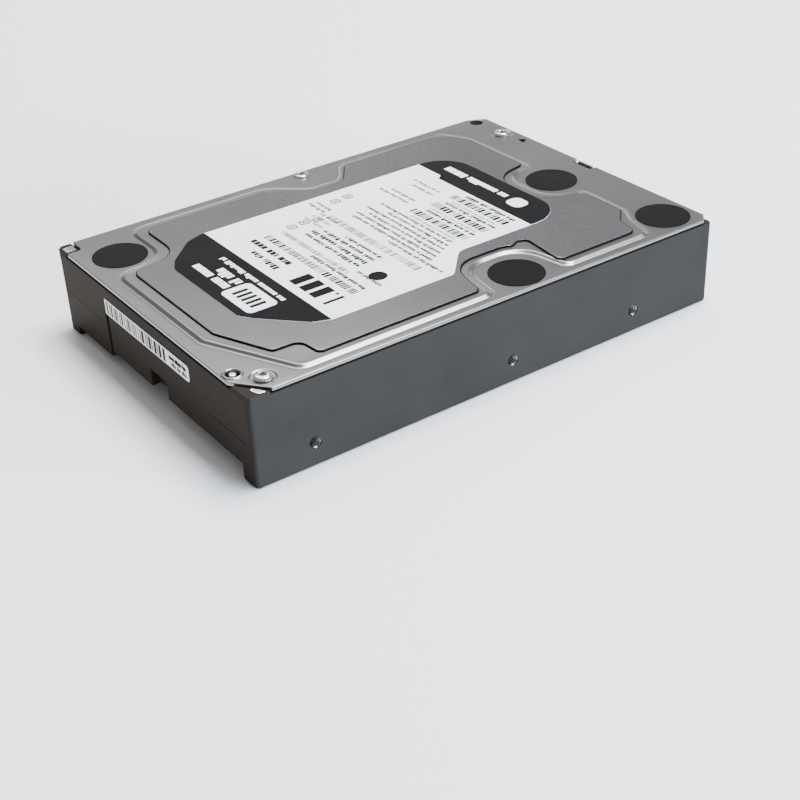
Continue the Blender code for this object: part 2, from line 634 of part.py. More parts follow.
def voice_coil():
    outer = sector(13.5, 26.0, COIL_ANGLE - COIL_HALF_ANGLE, COIL_ANGLE + COIL_HALF_ANGLE)
    inner = sector(17.5, 22.5, COIL_ANGLE - 12.0, COIL_ANGLE + 12.0)
    coil = prism("voice_coil", [outer, inner], COIL_BOTTOM, COIL_TOP, origin=PIVOT)
    finish(coil, (0.65, 0.3, 0.12), 0.35, 0.9)


def pivot_bearing():
    shaft = [(0.0, 23.6), (3.0, 23.6), (3.0, 7.8), (5.0, 7.8), (5.0, FLOOR + SEAT), (0.0, FLOOR + SEAT)]
    finish(turned("pivot_shaft", shaft, PIVOT, 16), (0.6, 0.6, 0.6), 0.25, 1.0)
    sleeve = ring("pivot_sleeve", 3.2, BARREL_BORE - 0.15, 8.0, 21.3, PIVOT, 20)
    finish(sleeve, (0.55, 0.55, 0.56), 0.3, 1.0)


def suspensions():
    count = 0
    for i, low in enumerate(arm_levels()):
        faces = []
        if i < PLATTER_COUNT:
            faces.append((low + ARM_THICKNESS + SEAT, 1.0))
        if i > 0:
            faces.append((low - SEAT, -1.0))
        for level, up in faces:
            count += 1
            beam_low, beam_high = sorted((level, level + up * 0.3))
            slide_low, slide_high = sorted((level + up * 0.2, level + up * 0.55))
            plan = strip(29.0, 2.8, 35.5, 2.8, ARM_ANGLE)
            tip = strip(35.5, 2.8, 53.0, 0.5, ARM_ANGLE)
            outline = [plan[0], plan[1], tip[1], tip[2], plan[2], plan[3]]
            beam = prism(f"head_suspension_{count}", [outline], beam_low, beam_high, origin=PIVOT)
            head = prism(f"add_head_{count}",
                         [strip(HEAD_REACH - 0.6, 0.45, HEAD_REACH + 0.6, 0.45, ARM_ANGLE)],
                         slide_low, slide_high, origin=PIVOT, collection=cutters)
            combine(beam, head, "UNION")
            finish(beam, (0.65, 0.65, 0.65), 0.25, 1.0)


def magnets_and_yokes():
    start, end = YOKE_ANGLES
    lower = prism("lower_yoke", [sector(*YOKE_RADII, start, end)], FLOOR + SEAT, LOWER_YOKE_TOP)
    wall = prism("add_yoke_wall", [sector(YOKE_RADII[1] - 1.3, YOKE_RADII[1], start + 7.0, end - 7.0)],
                 LOWER_YOKE_TOP - 1.1, UPPER_YOKE_SPAN[0] - SEAT, collection=cutters)
    combine(lower, wall, "UNION")
    finish(lower, (0.5, 0.5, 0.51), 0.3, 1.0)
    upper = prism("upper_yoke", [sector(*YOKE_RADII, start, end)], *UPPER_YOKE_SPAN)
    finish(upper, (0.5, 0.5, 0.51), 0.3, 1.0)
    upper_low = UPPER_YOKE_SPAN[0] - SEAT - MAGNET_THICKNESS
    for name, low in (("lower_magnet", LOWER_YOKE_TOP + SEAT), ("upper_magnet", upper_low)):
        magnet = prism(name, [sector(*MAGNET_RADII, start + 3.0, end - 3.0)], low, low + MAGNET_THICKNESS)
        finish(magnet, (0.6, 0.6, 0.6), 0.2, 1.0)


def load_ramp():
    start, end = RAMP_ANGLES
    ramp = prism("load_ramp", [sector(54.4, 59.0, start, end - 1.0, step=3.0)], FLOOR + SEAT, 21.6)
    for i, low in enumerate(arm_levels()):
        ledge = prism(f"add_ledge_{i}", [sector(50.9, 55.0, start, end, step=3.0)], low, low + ARM_THICKNESS,
                      collection=cutters)
        combine(ramp, ledge, "UNION")
    finish(ramp, (0.85, 0.82, 0.7), 0.5)


def latch_and_stop():
    eye = [(LATCH_PIN[0] + 2.2 * math.cos(a), LATCH_PIN[1] + 2.2 * math.sin(a))
           for a in (math.radians(25.0 + 310.0 * k / 12) for k in range(13))]
    hook = [(109.2, 7.6), (111.2, 7.6), (111.2, 11.0), (109.6, 11.0), (109.6, 9.4)]
    hole = [polar(LATCH_BORE, -360.0 * k / 12, LATCH_PIN) for k in range(12)]
    latch = prism("actuator_latch", [eye + hook, hole], *LATCH_SPAN, origin=LATCH_PIN)
    finish(latch, (0.1, 0.1, 0.1), 0.5)
    stop = rods("crash_stop", [polar(19.0, 27.4)], 1.8, FLOOR + SEAT, 18.6, 20)
    finish(stop, (0.05, 0.05, 0.05), 0.7)


def flex_circuit():
    bends = [Vector((112.9, 42.4)), Vector((121.0, 50.5)), Vector((111.0, 62.0)), Vector((118.0, 73.4))]
    path = []
    for k in range(13):
        t = k / 12
        weights = [(1 - t) ** 3, 3 * t * (1 - t) ** 2, 3 * t * t * (1 - t), t ** 3]
        path.append(sum((bend * weight for bend, weight in zip(bends, weights)), Vector((0.0, 0.0))))
    left, right = [], []
    for k, point in enumerate(path):
        ahead = path[min(k + 1, 12)] - path[max(k - 1, 0)]
        side = Vector((-ahead.y, ahead.x)).normalized() * 0.2
        left.append(tuple(point + side))
        right.append(tuple(point - side))
    ribbon = prism("flex_cable", [left + right[::-1]], 9.8, 17.0)
    finish(ribbon, (0.45, 0.25, 0.05), 0.4)
    block = boxes("flex_connector", [((112.0, 74.0, FLOOR + SEAT), (132.0, 86.0, 11.5))])
    plug = boxes("add_flex_plug", [((115.4, 78.4, 3.1), (128.6, 83.6, 9.0))], collection=cutters)
    combine(block, plug, "UNION")
    finish(block, (0.05, 0.05, 0.05), 0.5)


# ---------------------------------------------------------------- circuit board

def circuit_board():
    board = prism("circuit_board", [rounded(BOARD)], BOARD_BOTTOM, BOARD_TOP)
    bite = rods("cut_board_bite", [SPINDLE], MOTOR_BOSS_RADIUS + 1.0, BELOW, 5.0, 28, collection=cutters)
    combine(board, bite, "DIFFERENCE")
    holes = rods("cut_board_holes", BOARD_SCREWS, TAPPED_RADIUS, BELOW, 5.0, 12, collection=cutters)
    combine(board, holes, "DIFFERENCE")
    finish(board, (0.03, 0.2, 0.1), 0.4)
    chips = [
        ("controller_chip", (98.0, 60.0), (112.0, 74.0)), ("motor_driver_chip", (78.0, 20.0), (87.0, 29.0)),
        ("cache_chip", (98.0, 36.0), (110.0, 44.0)),
    ]
    for name, low, high in chips:
        chip = boxes(name, [((*low, BOARD_TOP + SEAT), (*high, BOARD_TOP + SEAT + CHIP_HEIGHT))])
        finish(chip, (0.02, 0.02, 0.02), 0.5)
    pad = prism("insulating_pad", [rounded(BOARD_PAD)], 3.5, BOARD_POCKET_TOP - 0.2)
    finish(pad, (0.03, 0.03, 0.03), 0.9)
    seat = BOARD_BOTTOM - SEAT
    profile = [
        (0.0, 6.0), (SCREW_RADIUS, 6.0), (SCREW_RADIUS, seat), (BOARD_HEAD_RADIUS, seat),
        (BOARD_HEAD_RADIUS, seat - 0.4), (BOARD_HEAD_RADIUS - 0.5, seat - HEAD_HEIGHT), (0.0,
                                                                                         seat - HEAD_HEIGHT),
    ]
    for i, centre in enumerate(BOARD_SCREWS, 1):
        finish(turned(f"board_screw_{i}", profile, centre, 12), (0.6, 0.6, 0.6), 0.3, 1.0)


def connectors():
    plug = boxes("sata_connector", [((139.6, 11.0, 0.9), (146.8, 54.0, 6.6))])
    mouths = boxes("cut_sata_mouths", [((141.4, 12.2, 1.7), (148.0, 36.4, 5.8)),
                                       ((141.4, 38.4, 1.7), (148.0, 52.8, 5.8))], collection=cutters)
    combine(plug, mouths, "DIFFERENCE")
    tongues = boxes("add_sata_tongues", [((140.5, 14.0, 3.2), (146.0, 34.8, 4.4)),
                                         ((140.5, 40.0, 3.2), (146.0, 51.0, 4.4))], collection=cutters)
    combine(plug, tongues, "UNION")
    keys = boxes("add_sata_keys", [((140.5, 34.0, 3.4), (146.0, 35.2, 5.4)),
                                   ((140.5, 50.2, 3.4), (146.0, 51.4, 5.4))], collection=cutters)
    combine(plug, keys, "UNION")
    finish(plug, (0.02, 0.02, 0.02), 0.45)
    header = boxes("jumper_header", [((140.4, 60.0, 2.4), (143.4, 71.0, 6.4))])
    pins = []
    for k in range(4):
        y = 61.2 + PIN_PITCH * k
        for z in (3.0, 5.1):
            pins.append(((142.0, y, z), (146.4, y + PIN_WIDTH, z + PIN_WIDTH)))
    contacts = boxes("add_jumper_pins", pins, collection=cutters)
    combine(header, contacts, "UNION")
    finish(header, (0.03, 0.03, 0.03), 0.5)


def main():
    for thing in list(bpy.data.objects):
        bpy.data.objects.remove(thing)
    bpy.context.scene.collection.children.link(parts)
    bpy.context.scene.collection.children.link(cutters)
    base_casting()
    top_cover()
    cover_gasket()
    damping_plate()
    top_label()
    end_label()
    sealing_discs()
    cover_screws()
    filters()
    spindle_motor()
    disk_stack()
    actuator_block()
    voice_coil()
    pivot_bearing()
    suspensions()
    magnets_and_yokes()
    load_ramp()
    latch_and_stop()
    flex_circuit()
    circuit_board()
    connectors()


main()
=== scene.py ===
"""Looks for the 3.5-inch hard disk drive: detailed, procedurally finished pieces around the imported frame.

Plan positions are in millimetres from the drive's label-end, near-side bottom corner: x runs to the
connector end, y to the far side and z up. here() turns them into scene positions in the frame.
"""

import math
import random

import bmesh
import bpy
from mathutils import Matrix, Vector


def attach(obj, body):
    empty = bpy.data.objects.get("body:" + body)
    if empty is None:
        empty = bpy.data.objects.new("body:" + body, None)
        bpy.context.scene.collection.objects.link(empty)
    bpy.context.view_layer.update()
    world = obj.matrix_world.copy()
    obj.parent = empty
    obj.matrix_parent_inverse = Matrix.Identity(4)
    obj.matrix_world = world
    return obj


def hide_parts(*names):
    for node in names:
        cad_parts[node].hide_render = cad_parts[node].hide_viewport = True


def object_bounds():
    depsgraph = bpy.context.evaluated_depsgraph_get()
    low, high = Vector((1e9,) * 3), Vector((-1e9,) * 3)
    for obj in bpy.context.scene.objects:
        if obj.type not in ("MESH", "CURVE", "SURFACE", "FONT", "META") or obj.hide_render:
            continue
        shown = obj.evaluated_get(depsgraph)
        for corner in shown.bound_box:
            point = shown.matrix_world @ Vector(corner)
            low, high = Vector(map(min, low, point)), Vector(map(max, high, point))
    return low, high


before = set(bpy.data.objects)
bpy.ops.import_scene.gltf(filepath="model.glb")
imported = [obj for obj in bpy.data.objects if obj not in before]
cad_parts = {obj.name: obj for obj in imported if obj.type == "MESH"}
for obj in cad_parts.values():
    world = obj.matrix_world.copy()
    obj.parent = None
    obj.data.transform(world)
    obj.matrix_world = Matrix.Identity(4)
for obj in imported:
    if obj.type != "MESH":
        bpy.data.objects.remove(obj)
CAD_LOW, CAD_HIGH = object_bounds()

MM = 0.001
BODY = "enclosure"

# Sizes and levels that follow the frame, in millimetres
LENGTH, WIDTH = (round(side / MM, 3) for side in (CAD_HIGH - CAD_LOW)[:2])
END_FACE = 0.15
BOARD_BOTTOM = 1.3
BOARD_TOP = 2.3
RAIL_DEPTH = 2.4
BOARD_POCKET_TOP = 4.8
FLOOR = 7.0
RIM = 23.7
SCREW_SEAT = 24.15
COVER_BOTTOM = 24.2
POST_TOP = 24.7
FLANGE_TOP = 25.0
PLATE_BOTTOM = 25.65
PLATE_TOP = 26.0
FILM_BOTTOM = 26.02
FILM_TOP = 26.075
INK_TOP = 26.092
WHITE_BOTTOM = INK_TOP - 0.001
WHITE_TOP = INK_TOP + 0.007
FILM_FACE = 0.03
INK_FACE = 0.005

# Places in plan
SPINDLE = (50.3, 50.8)
LOCATING_PIN = (3.1, 11.6)
FAR_EDGE_SCREW = (77.0, 98.5)
OPEN_SCREWS = [(8.0, 6.2), FAR_EDGE_SCREW, (142.5, 85.0)]
BAY_SCREW = (130.5, 47.8)
SEALED_SCREWS = [(11.0, 85.0), BAY_SCREW, (85.4, 9.0), (137.5, 9.6)]
BOARD_SCREWS = [(66.0, 14.0), (66.0, 88.0), (136.0, 88.0), (134.5, 15.0)]
SIDE_HOLE_X = (16.9, 76.9, 118.5)
SIDE_HOLE_Z = 6.35
BOTTOM_HOLE_X = (29.52, 61.27, 105.72)
BOTTOM_HOLE_INSET = 3.18
TAPPED_RADIUS = 1.72
SIDE_HOLE_DEPTH = 3.8
BOTTOM_HOLE_DEPTH = 4.5
SCREW_HOLE_RADIUS = 1.45
LATCH_PIN = (98.0, 8.5)
BREATHER = (132.0, 91.0)
DISK_BAY_RADIUS = 48.7
MOTOR_BOSS_RADIUS = 21.0
BOARD_BITE_RADIUS = 22.0
SEAL_RADIUS = 7.5
EJECTOR_MARKS = [(12.0, 14.0), (12.0, 87.0), (45.0, 12.0), (45.0, 89.5)]

# Most of the small cuts run this far past the surfaces that they open
PAST = 2.0

WHITE_LIGHT = (1.0, 1.0, 1.0)
COOL_LIGHT = (0.4, 0.68, 1.0)

# Outlines as corners: x, y and corner radius, counter-clockwise
FLANGE = [
    (7.2, 0.5, 0.6), (144.0, 0.5, 0.6), (146.7, 3.2, 0.6), (146.7, 46.6, 0.4), (144.2, 46.6, 0.5),
    (144.2, 54.6, 0.5), (146.7, 54.6, 0.4), (146.7, 98.4, 0.8), (141.2, 101.3, 0.8),
    (4.6, 101.3, 0.5), (4.6, 95.2, 1.2), (0.3, 95.2, 0.5), (0.3, 9.2, 0.6),
]
FOOT = [
    (4.7, 29.0, 4.0), (16.8, 3.3, 4.0), (73.6, 3.3, 3.0), (75.5, 19.5, 8.5), (95.0, 19.5, 8.5),
    (97.6, 3.3, 3.0), (126.5, 3.3, 3.0), (129.0, 13.0, 4.0), (132.0, 18.5, 3.0), (132.0, 36.5, 2.0),
    (121.2, 38.4, 8.0), (121.2, 57.0, 8.0), (132.0, 59.4, 2.0), (132.0, 88.0, 2.5),
    (127.0, 97.0, 3.0), (89.5, 97.0, 3.5), (83.5, 88.0, 6.0), (73.5, 88.0, 6.0), (63.5, 97.0, 8.0),
    (19.4, 97.0, 5.0), (19.6, 75.4, 8.0), (4.7, 74.6, 5.0),
]
PLATE = [
    (8.5, 30.0, 4.0), (15.3, 13.8, 1.5), (22.8, 13.6, 3.0), (23.5, 6.2, 1.5), (71.2, 6.2, 1.8),
    (74.0, 21.9, 9.0), (91.0, 21.9, 7.0), (93.5, 20.5, 2.0), (96.0, 22.0, 1.5), (99.0, 21.0, 2.0),
    (97.6, 6.3, 1.5), (123.6, 6.3, 2.0), (125.3, 13.5, 3.0), (130.2, 18.5, 2.5), (130.2, 34.6, 2.0),
    (117.6, 35.6, 9.5), (117.6, 58.6, 9.5), (130.2, 60.6, 2.0), (130.2, 86.2, 2.0),
    (125.2, 94.4, 2.5), (89.8, 94.1, 2.0), (83.2, 84.9, 6.0), (72.6, 84.9, 6.0), (62.0, 93.3, 8.0),
    (23.0, 93.3, 3.0), (22.9, 73.2, 8.0), (8.5, 72.5, 3.5),
]
LABEL = [
    (17.3, 33.5, 3.0), (19.8, 29.6, 2.0), (29.5, 19.0, 3.0), (34.3, 17.0, 1.0), (71.5, 17.0, 3.0),
    (80.5, 26.8, 5.0), (117.8, 26.8, 10.5), (117.8, 80.3, 10.5), (33.0, 80.3, 3.0),
    (28.0, 78.5, 2.0), (19.8, 70.5, 2.0), (17.3, 66.0, 3.0),
]
LABEL_DARK_LEFT = [
    (17.3, 33.5, 3.0), (19.8, 29.6, 2.0), (29.5, 19.0, 3.0), (34.3, 17.0, 0.3), (34.3, 80.3, 0.3),
    (33.0, 80.3, 1.0), (28.0, 78.5, 2.0), (19.8, 70.5, 2.0), (17.3, 66.0, 3.0),
]
LABEL_DARK_RIGHT = [
    (105.2, 26.8, 0.3), (117.8, 26.8, 10.5), (117.8, 80.3, 10.5), (106.8, 80.3, 0.3),
    (106.8, 69.5, 0.5), (105.0, 68.0, 0.5), (105.0, 50.0, 0.5),
]
BOARD = [
    (60.0, 8.0, 2.0), (139.4, 8.0, 1.0), (139.4, 56.5, 0.5), (146.2, 56.5, 0.5), (146.2, 93.6, 1.5),
    (60.0, 93.6, 2.0),
]
ACTUATOR_BAY = [
    (76.0, 14.0, 0.5), (90.0, 14.0, 2.0), (93.0, 4.4, 1.5), (131.0, 4.4, 2.0), (134.0, 14.0, 2.0),
    (138.0, 15.0, 1.0), (138.0, 93.5, 3.0), (134.0, 97.2, 3.0), (86.0, 97.2, 2.0), (82.0, 91.0, 2.0),
    (76.0, 88.0, 0.5),
]

# Sections: an inset from an outline, or a radius, and a height above the flange
BEAD = [
    (-1.2, 0.0), (-1.0, -0.02), (-0.8, -0.06), (-0.6, -0.075), (-0.4, -0.05), (-0.22, 0.01),
    (-0.05, 0.1), (0.1, 0.2), (0.25, 0.31), (0.4, 0.42), (0.56, 0.51), (0.74, 0.565), (0.92, 0.59),
    (1.1, 0.585), (1.3, 0.55),
]
WIDE_DISH = [(3.6, 0.0), (3.45, -0.02), (3.25, -0.1), (3.1, -0.22), (2.95, -0.3), (1.6, -0.3)]
TIGHT_DISH = [(2.47, 0.0), (2.45, -0.06), (2.43, -0.2), (2.41, -0.3), (1.6, -0.3)]
COLLAR = [
    (2.72, 0.0), (2.66, 0.04), (2.5, 0.2), (2.3, 0.3), (2.1, 0.3), (1.9, 0.2), (1.72, 0.02),
    (1.66, -0.2),
]


# ---- outlines

def rounded(corners, step=7.0):
    """Points of an outline given by its corners, with an arc at each corner that has a radius."""
    points = []
    for i, (x, y, radius) in enumerate(corners):
        corner = Vector((x, y))
        back = (Vector(corners[i - 1][:2]) - corner).normalized()
        ahead = (Vector(corners[(i + 1) % len(corners)][:2]) - corner).normalized()
        turn = math.pi - back.angle(ahead)
        if radius <= 0.0 or turn < 0.02:
            points.append(corner)
            continue
        start = corner + back * (radius * math.tan(turn / 2))
        end = corner + ahead * (radius * math.tan(turn / 2))
        middle = corner + (back + ahead).normalized() * (radius / math.cos(turn / 2))
        count = max(2, math.ceil(math.degrees(turn) / step))
        first = start - middle
        sign = 1.0 if first.cross(end - middle) > 0 else -1.0
        for k in range(count + 1):
            points.append(middle + Matrix.Rotation(sign * turn * k / count, 2) @ first)
    return points


def panel(x0, y0, x1, y1, radius=0.0):
    """Corners of a rectangle that all have one radius."""
    return [(x0, y0, radius), (x1, y0, radius), (x1, y1, radius), (x0, y1, radius)]


def mitre(into, out):
    """The inward normal at a corner, long enough to keep both edges a unit away."""
    normal = Vector((-into.y - out.y, into.x + out.x)) / 2
    return normal / max(normal.length_squared, 0.25)


def inset(points, distance):
    """A closed outline's points, each moved inwards by a distance, or outwards if it is negative."""
    moved = []
    for i, point in enumerate(points):
        into = (point - points[i - 1]).normalized()
        out = (points[(i + 1) % len(points)] - point).normalized()
        moved.append(point + mitre(into, out) * distance)
    return moved


def lobed(centre, radius, depth, lobes, count):
    """Points of a round outline whose radius swells once for each lobe."""
    points = []
    for k in range(count):
        turn = math.tau * k / count
        reach = radius + depth * math.cos(lobes * turn)
        points.append(Vector((centre[0] + reach * math.cos(turn), centre[1] + reach * math.sin(turn))))
    return points


def circle(centre, radius, count=32):
    """Points of a circle, counter-clockwise."""
    return lobed(centre, radius, 0.0, 0, count)


# ---- mesh building

def here(x, y, z):
    """The scene position of a point given in the drive's millimetres."""
    return CAD_LOW + Vector((x, y, z)) * MM


def ring_of(bm, points, z):
    """Vertices of an outline at a level."""
    return [bm.verts.new(here(p[0], p[1], z)) for p in points]


def bridge(bm, low, high):
    """Quads between two rings of the same count."""
    for i in range(len(low)):
        j = (i + 1) % len(low)
        bm.faces.new((low[i], low[j], high[j], high[i]))


def stack(bm, rings):
    """Skins a list of rings, lowest first."""
    for low, high in zip(rings, rings[1:]):
        bridge(bm, low, high)


def fill(bm, rings):
    """Fills the flat area inside the first ring and outside the others."""
    edges = []
    for ring in rings:
        for i in range(len(ring)):
            pair = (ring[i], ring[(i + 1) % len(ring)])
            edges.append(bm.edges.get(pair) or bm.edges.new(pair))
    bmesh.ops.triangle_fill(bm, use_beauty=True, edges=edges)


def capped(bm, rings):
    """Skins a list of rings and closes both ends."""
    stack(bm, rings)
    fill(bm, [rings[0]])
    fill(bm, [rings[-1]])


def piece(name, bm, material, replaces=(), weighted=True):
    """Finish a mesh as a piece of the drive."""
    carry(scratch(name, bm), material, replaces, weighted=weighted)


def carry(thing, material, replaces=(), sharp=32.0, weighted=True):
    """Give an object its shading, its material and the body that it rides on."""
    thing.data.shade_smooth()
    thing.data.set_sharp_from_angle(angle=math.radians(sharp))
    thing.data.materials.clear()
    thing.data.materials.append(material)
    if weighted:
        even = thing.modifiers.new("even_normals", "WEIGHTED_NORMAL")
        even.keep_sharp = True
    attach(thing, BODY)
    if replaces:
        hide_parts(*replaces)


def slab(bm, points, bottom, top, edge=0.1, steps=2):
    """A closed slab with a rounded upper edge."""
    rings = [ring_of(bm, points, bottom)]
    for k in range(steps + 1):
        turn = math.pi / 2 * k / steps
        inwards = edge * (1 - math.cos(turn))
        rings.append(ring_of(bm, inset(points, inwards), top - edge * (1 - math.sin(turn))))
    capped(bm, rings)


def slab_piece(name, slabs, material, replaces=()):
    """A piece made of one or more slabs, each given as slab() takes it."""
    bm = bmesh.new()
    for sizes in slabs:
        slab(bm, *sizes)
    piece(name, bm, material, replaces)


def block(bm, low, high):
    """A plain box added to a mesh, for small print, pins and cuts."""
    centre = [(a + b) / 2 for a, b in zip(low, high)]
    size = [(b - a) * MM for a, b in zip(low, high)]
    move = Matrix.Translation(here(*centre)) @ Matrix.Diagonal((*size, 1.0))
    bmesh.ops.create_cube(bm, size=1.0, matrix=move)


def rod(bm, centre, radius, bottom, top, segments=32, edge=0.0):
    """An upright round rod, with a rounded upper edge if asked."""
    slab(bm, circle(centre, radius, segments), bottom, top, max(edge, 0.001), 2 if edge else 1)


def lying_rod(bm, x, z, sections, segments=28):
    """A round rod along Y, given by places along it and its radius there."""
    rings = []
    for y, radius in sections:
        rings.append([bm.verts.new(here(p.x, y, p.y)) for p in circle((x, z), radius, segments)])
    capped(bm, rings)


def turned(bm, centre, profile, segments=48):
    """A closed turned ring or solid from radius and height pairs."""
    rings = [ring_of(bm, circle(centre, max(radius, 0.001), segments), z) for radius, z in profile]
    if profile[0][0] <= 0.001 or profile[-1][0] <= 0.001:
        capped(bm, rings)
    else:
        stack(bm, rings + rings[:1])


def scratch(name, bm):
    """A mesh as an object in the scene."""
    bmesh.ops.recalc_face_normals(bm, faces=bm.faces)
    mesh = bpy.data.meshes.new(name)
    bm.to_mesh(mesh)
    bm.free()
    thing = bpy.data.objects.new(name, mesh)
    bpy.context.scene.collection.objects.link(thing)
    return thing


def tool(build, *sizes):
    """A solid for a cut or a join, made by one of the mesh builders above."""
    bm = bmesh.new()
    build(bm, *sizes)
    return scratch("tool", bm)


def combine(target, operation, tools):
    """Cut or join solids into a target at once, and remove them."""
    for other in tools:
        step = target.modifiers.new(operation, "BOOLEAN")
        step.operation = operation
        step.solver = "EXACT"
        step.object = other
    settle(target)
    for other in tools:
        bpy.data.objects.remove(other)


def settle(thing, flat=0.6):
    """Replace an object's mesh by what its modifiers give, with coplanar faces merged."""
    mesh = bpy.data.meshes.new_from_object(thing.evaluated_get(bpy.context.evaluated_depsgraph_get()))
    thing.modifiers.clear()
    bm = bmesh.new()
    bm.from_mesh(mesh)
    bmesh.ops.remove_doubles(bm, verts=bm.verts, dist=0.002 * MM)
    bmesh.ops.dissolve_limit(bm, angle_limit=math.radians(flat), verts=bm.verts, edges=bm.edges)
    bm.to_mesh(mesh)
    bm.free()
    thing.data = mesh


def bevelled(thing, width, segments=2, angle=35.0):
    """Round an object's edges and settle the result."""
    edge = thing.modifiers.new("edges", "BEVEL")
    edge.width = width * MM
    edge.segments = segments
    edge.limit_method = "ANGLE"
    edge.angle_limit = math.radians(angle)
    edge.use_clamp_overlap = False
    settle(thing, 0.05)


# ---- materials

# name, colour, roughness, metallic; then tone, patch, gloss, grain, bump and depth as surface() takes them
FINISHES = {
    "cover": ("satin_cover_metal", (0.255, 0.257, 0.262), 0.29, 1, 0.04, 35, 0.012, 5200, 0.012, 0.004),
    "plate": ("rolled_plate_metal", (0.235, 0.237, 0.242), 0.27, 1, 0.03, 28, 0.01, 4600, 0.01, 0.003),
    "casting": ("black_coated_casting", (0.0268, 0.0214, 0.018), 0.32, 0, 0.1, 45, 0.05, 1500, 0.12, 0.03),
    "machined": ("bright_machined_aluminium", (0.72, 0.72, 0.71), 0.24, 1, 0.05, 300, 0.07, 5e3, 0.25, 0.015),
    "film": ("white_label_film", (0.9, 0.9, 0.885), 0.42, 0, 0.025, 45, 0.06, 3200, 0.08, 0.01),
    "ink": ("black_label_ink", (0.003, 0.003, 0.0034), 0.34, 0, 0.2, 70, 0.06, 3000, 0.08, 0.01),
    "faded_ink": ("grey_label_ink", (0.16, 0.16, 0.165), 0.42, 0, 0.2, 70, 0.05, 3000, 0.05, 0.01),
    "seal": ("black_foil_seal", (0.0035, 0.0037, 0.004), 0.5, 0, 0.15, 90, 0.07, 3800, 0.3, 0.02),
    "screw": ("nickel_plated_screw", (0.66, 0.65, 0.63), 0.2, 1, 0.08, 700, 0.08, 4200, 0.15, 0.012),
    "thread": ("bare_tapped_metal", (0.3, 0.3, 0.295), 0.34, 1, 0.1, 900, 0.08, 4200, 0.2, 0.012),
    "board": ("green_solder_mask", (0.006, 0.05, 0.024), 0.3, 0, 0.18, 120, 0.05, 1800, 0.08, 0.02),
    "track": ("masked_copper_track", (0.012, 0.095, 0.04), 0.3, 0, 0.15, 300, 0.05, 1800, 0.05, 0.01),
    "gold": ("gold_plated_contact", (0.86, 0.6, 0.24), 0.24, 1, 0.08, 500, 0.07, 4000, 0.12, 0.01),
    "solder": ("tin_solder_pad", (0.62, 0.62, 0.6), 0.3, 1, 0.1, 800, 0.1, 2600, 0.3, 0.02),
    "plastic": ("black_moulded_plastic", (0.018, 0.018, 0.019), 0.42, 0, 0.15, 150, 0.06, 3600, 0.2, 0.015),
    "chip": ("black_chip_resin", (0.03, 0.03, 0.032), 0.5, 0, 0.12, 400, 0.05, 5200, 0.3, 0.015),
    "foam": ("black_foam_rubber", (0.025, 0.025, 0.026), 0.85, 0, 0.25, 500, 0.05, 2200, 0.8, 0.1),
    "felt": ("white_filter_felt", (0.78, 0.77, 0.73), 0.9, 0, 0.08, 600, 0.03, 3200, 0.9, 0.12),
    "polymer": ("natural_ramp_polymer", (0.74, 0.69, 0.55), 0.38, 0, 0.06, 300, 0.05, 3000, 0.1, 0.01),
    "flex": ("amber_flex_film", (0.42, 0.2, 0.035), 0.26, 0, 0.12, 400, 0.06, 1500, 0.2, 0.02),
    "copper": ("enamelled_copper_wire", (0.62, 0.26, 0.1), 0.28, 1, 0.15, 500, 0.08, 4500, 0.7, 0.05),
    "arm": ("machined_arm_aluminium", (0.62, 0.62, 0.63), 0.34, 1, 0.05, 250, 0.05, 5000, 0.2, 0.015),
    "steel": ("ground_steel", (0.55, 0.55, 0.56), 0.22, 1, 0.04, 400, 0.05, 5000, 0.2, 0.01),
    "bronze": ("bronze_bearing", (0.55, 0.36, 0.17), 0.32, 1, 0.1, 500, 0.06, 4000, 0.2, 0.012),
    "nickel": ("nickel_plated_steel", (0.6, 0.59, 0.57), 0.26, 1, 0.05, 200, 0.06, 3500, 0.12, 0.012),
    "platter": ("polished_platter", (0.72, 0.72, 0.73), 0.04, 1, 0.04, 60, 0.04, 3000, 0.15, 0.02),
    "hub": ("turned_hub_aluminium", (0.68, 0.68, 0.69), 0.22, 1, 0.04, 60, 0.04, 3000, 0.15, 0.02),
}
# How far the grain is drawn out along X, Y and Z
STRETCHES = {
    "cover": (0.35, 1.0, 1.0), "plate": (0.4, 1.0, 1.0), "machined": (0.1, 1.0, 1.0), "flex": (1.0, 1.0, 6.0),
    "copper": (1.0, 1.0, 3.0), "arm": (0.3, 1.0, 1.0), "steel": (1.0, 1.0, 0.1),
}
# Strength and scale of a slow swell of the surface
WAVES = {"casting": (0.08, 240.0), "film": (0.05, 90.0), "seal": (0.08, 200.0)}
# Shader inputs that are the same all over the surface
SOCKETS = {
    "casting": {"IOR": 1.06},
    "film": {"Coat Weight": 0.15, "Coat Roughness": 0.2},
    "ink": {"IOR": 1.14},
    "seal": {"IOR": 1.13},
    "board": {"Coat Weight": 0.4, "Coat Roughness": 0.12},
    "felt": {"Sheen Weight": 0.4},
    "polymer": {"Subsurface Weight": 0.1, "Subsurface Radius": (0.001, 0.001, 0.001)},
    "flex": {"Coat Weight": 0.5, "Coat Roughness": 0.1},
}
# Pitch in millimetres and strength of circular tool marks about the spindle
TOOL_MARKS = {"platter": (0.5, 0.02), "hub": (0.3, 0.3)}


def node(tree, kind, **values):
    """A shader node with its properties and inputs set."""
    made = tree.nodes.new(kind)
    for key, value in values.items():
        if key in made.inputs:
            made.inputs[key].default_value = value
        else:
            setattr(made, key, value)
    return made


def noise(tree, vector, scale, detail=3.0, rough=0.55):
    """A noise pattern's value at a position."""
    made = node(tree, "ShaderNodeTexNoise", Scale=scale, Detail=detail, Roughness=rough)
    tree.links.new(vector, made.inputs["Vector"])
    return made.outputs["Fac"]


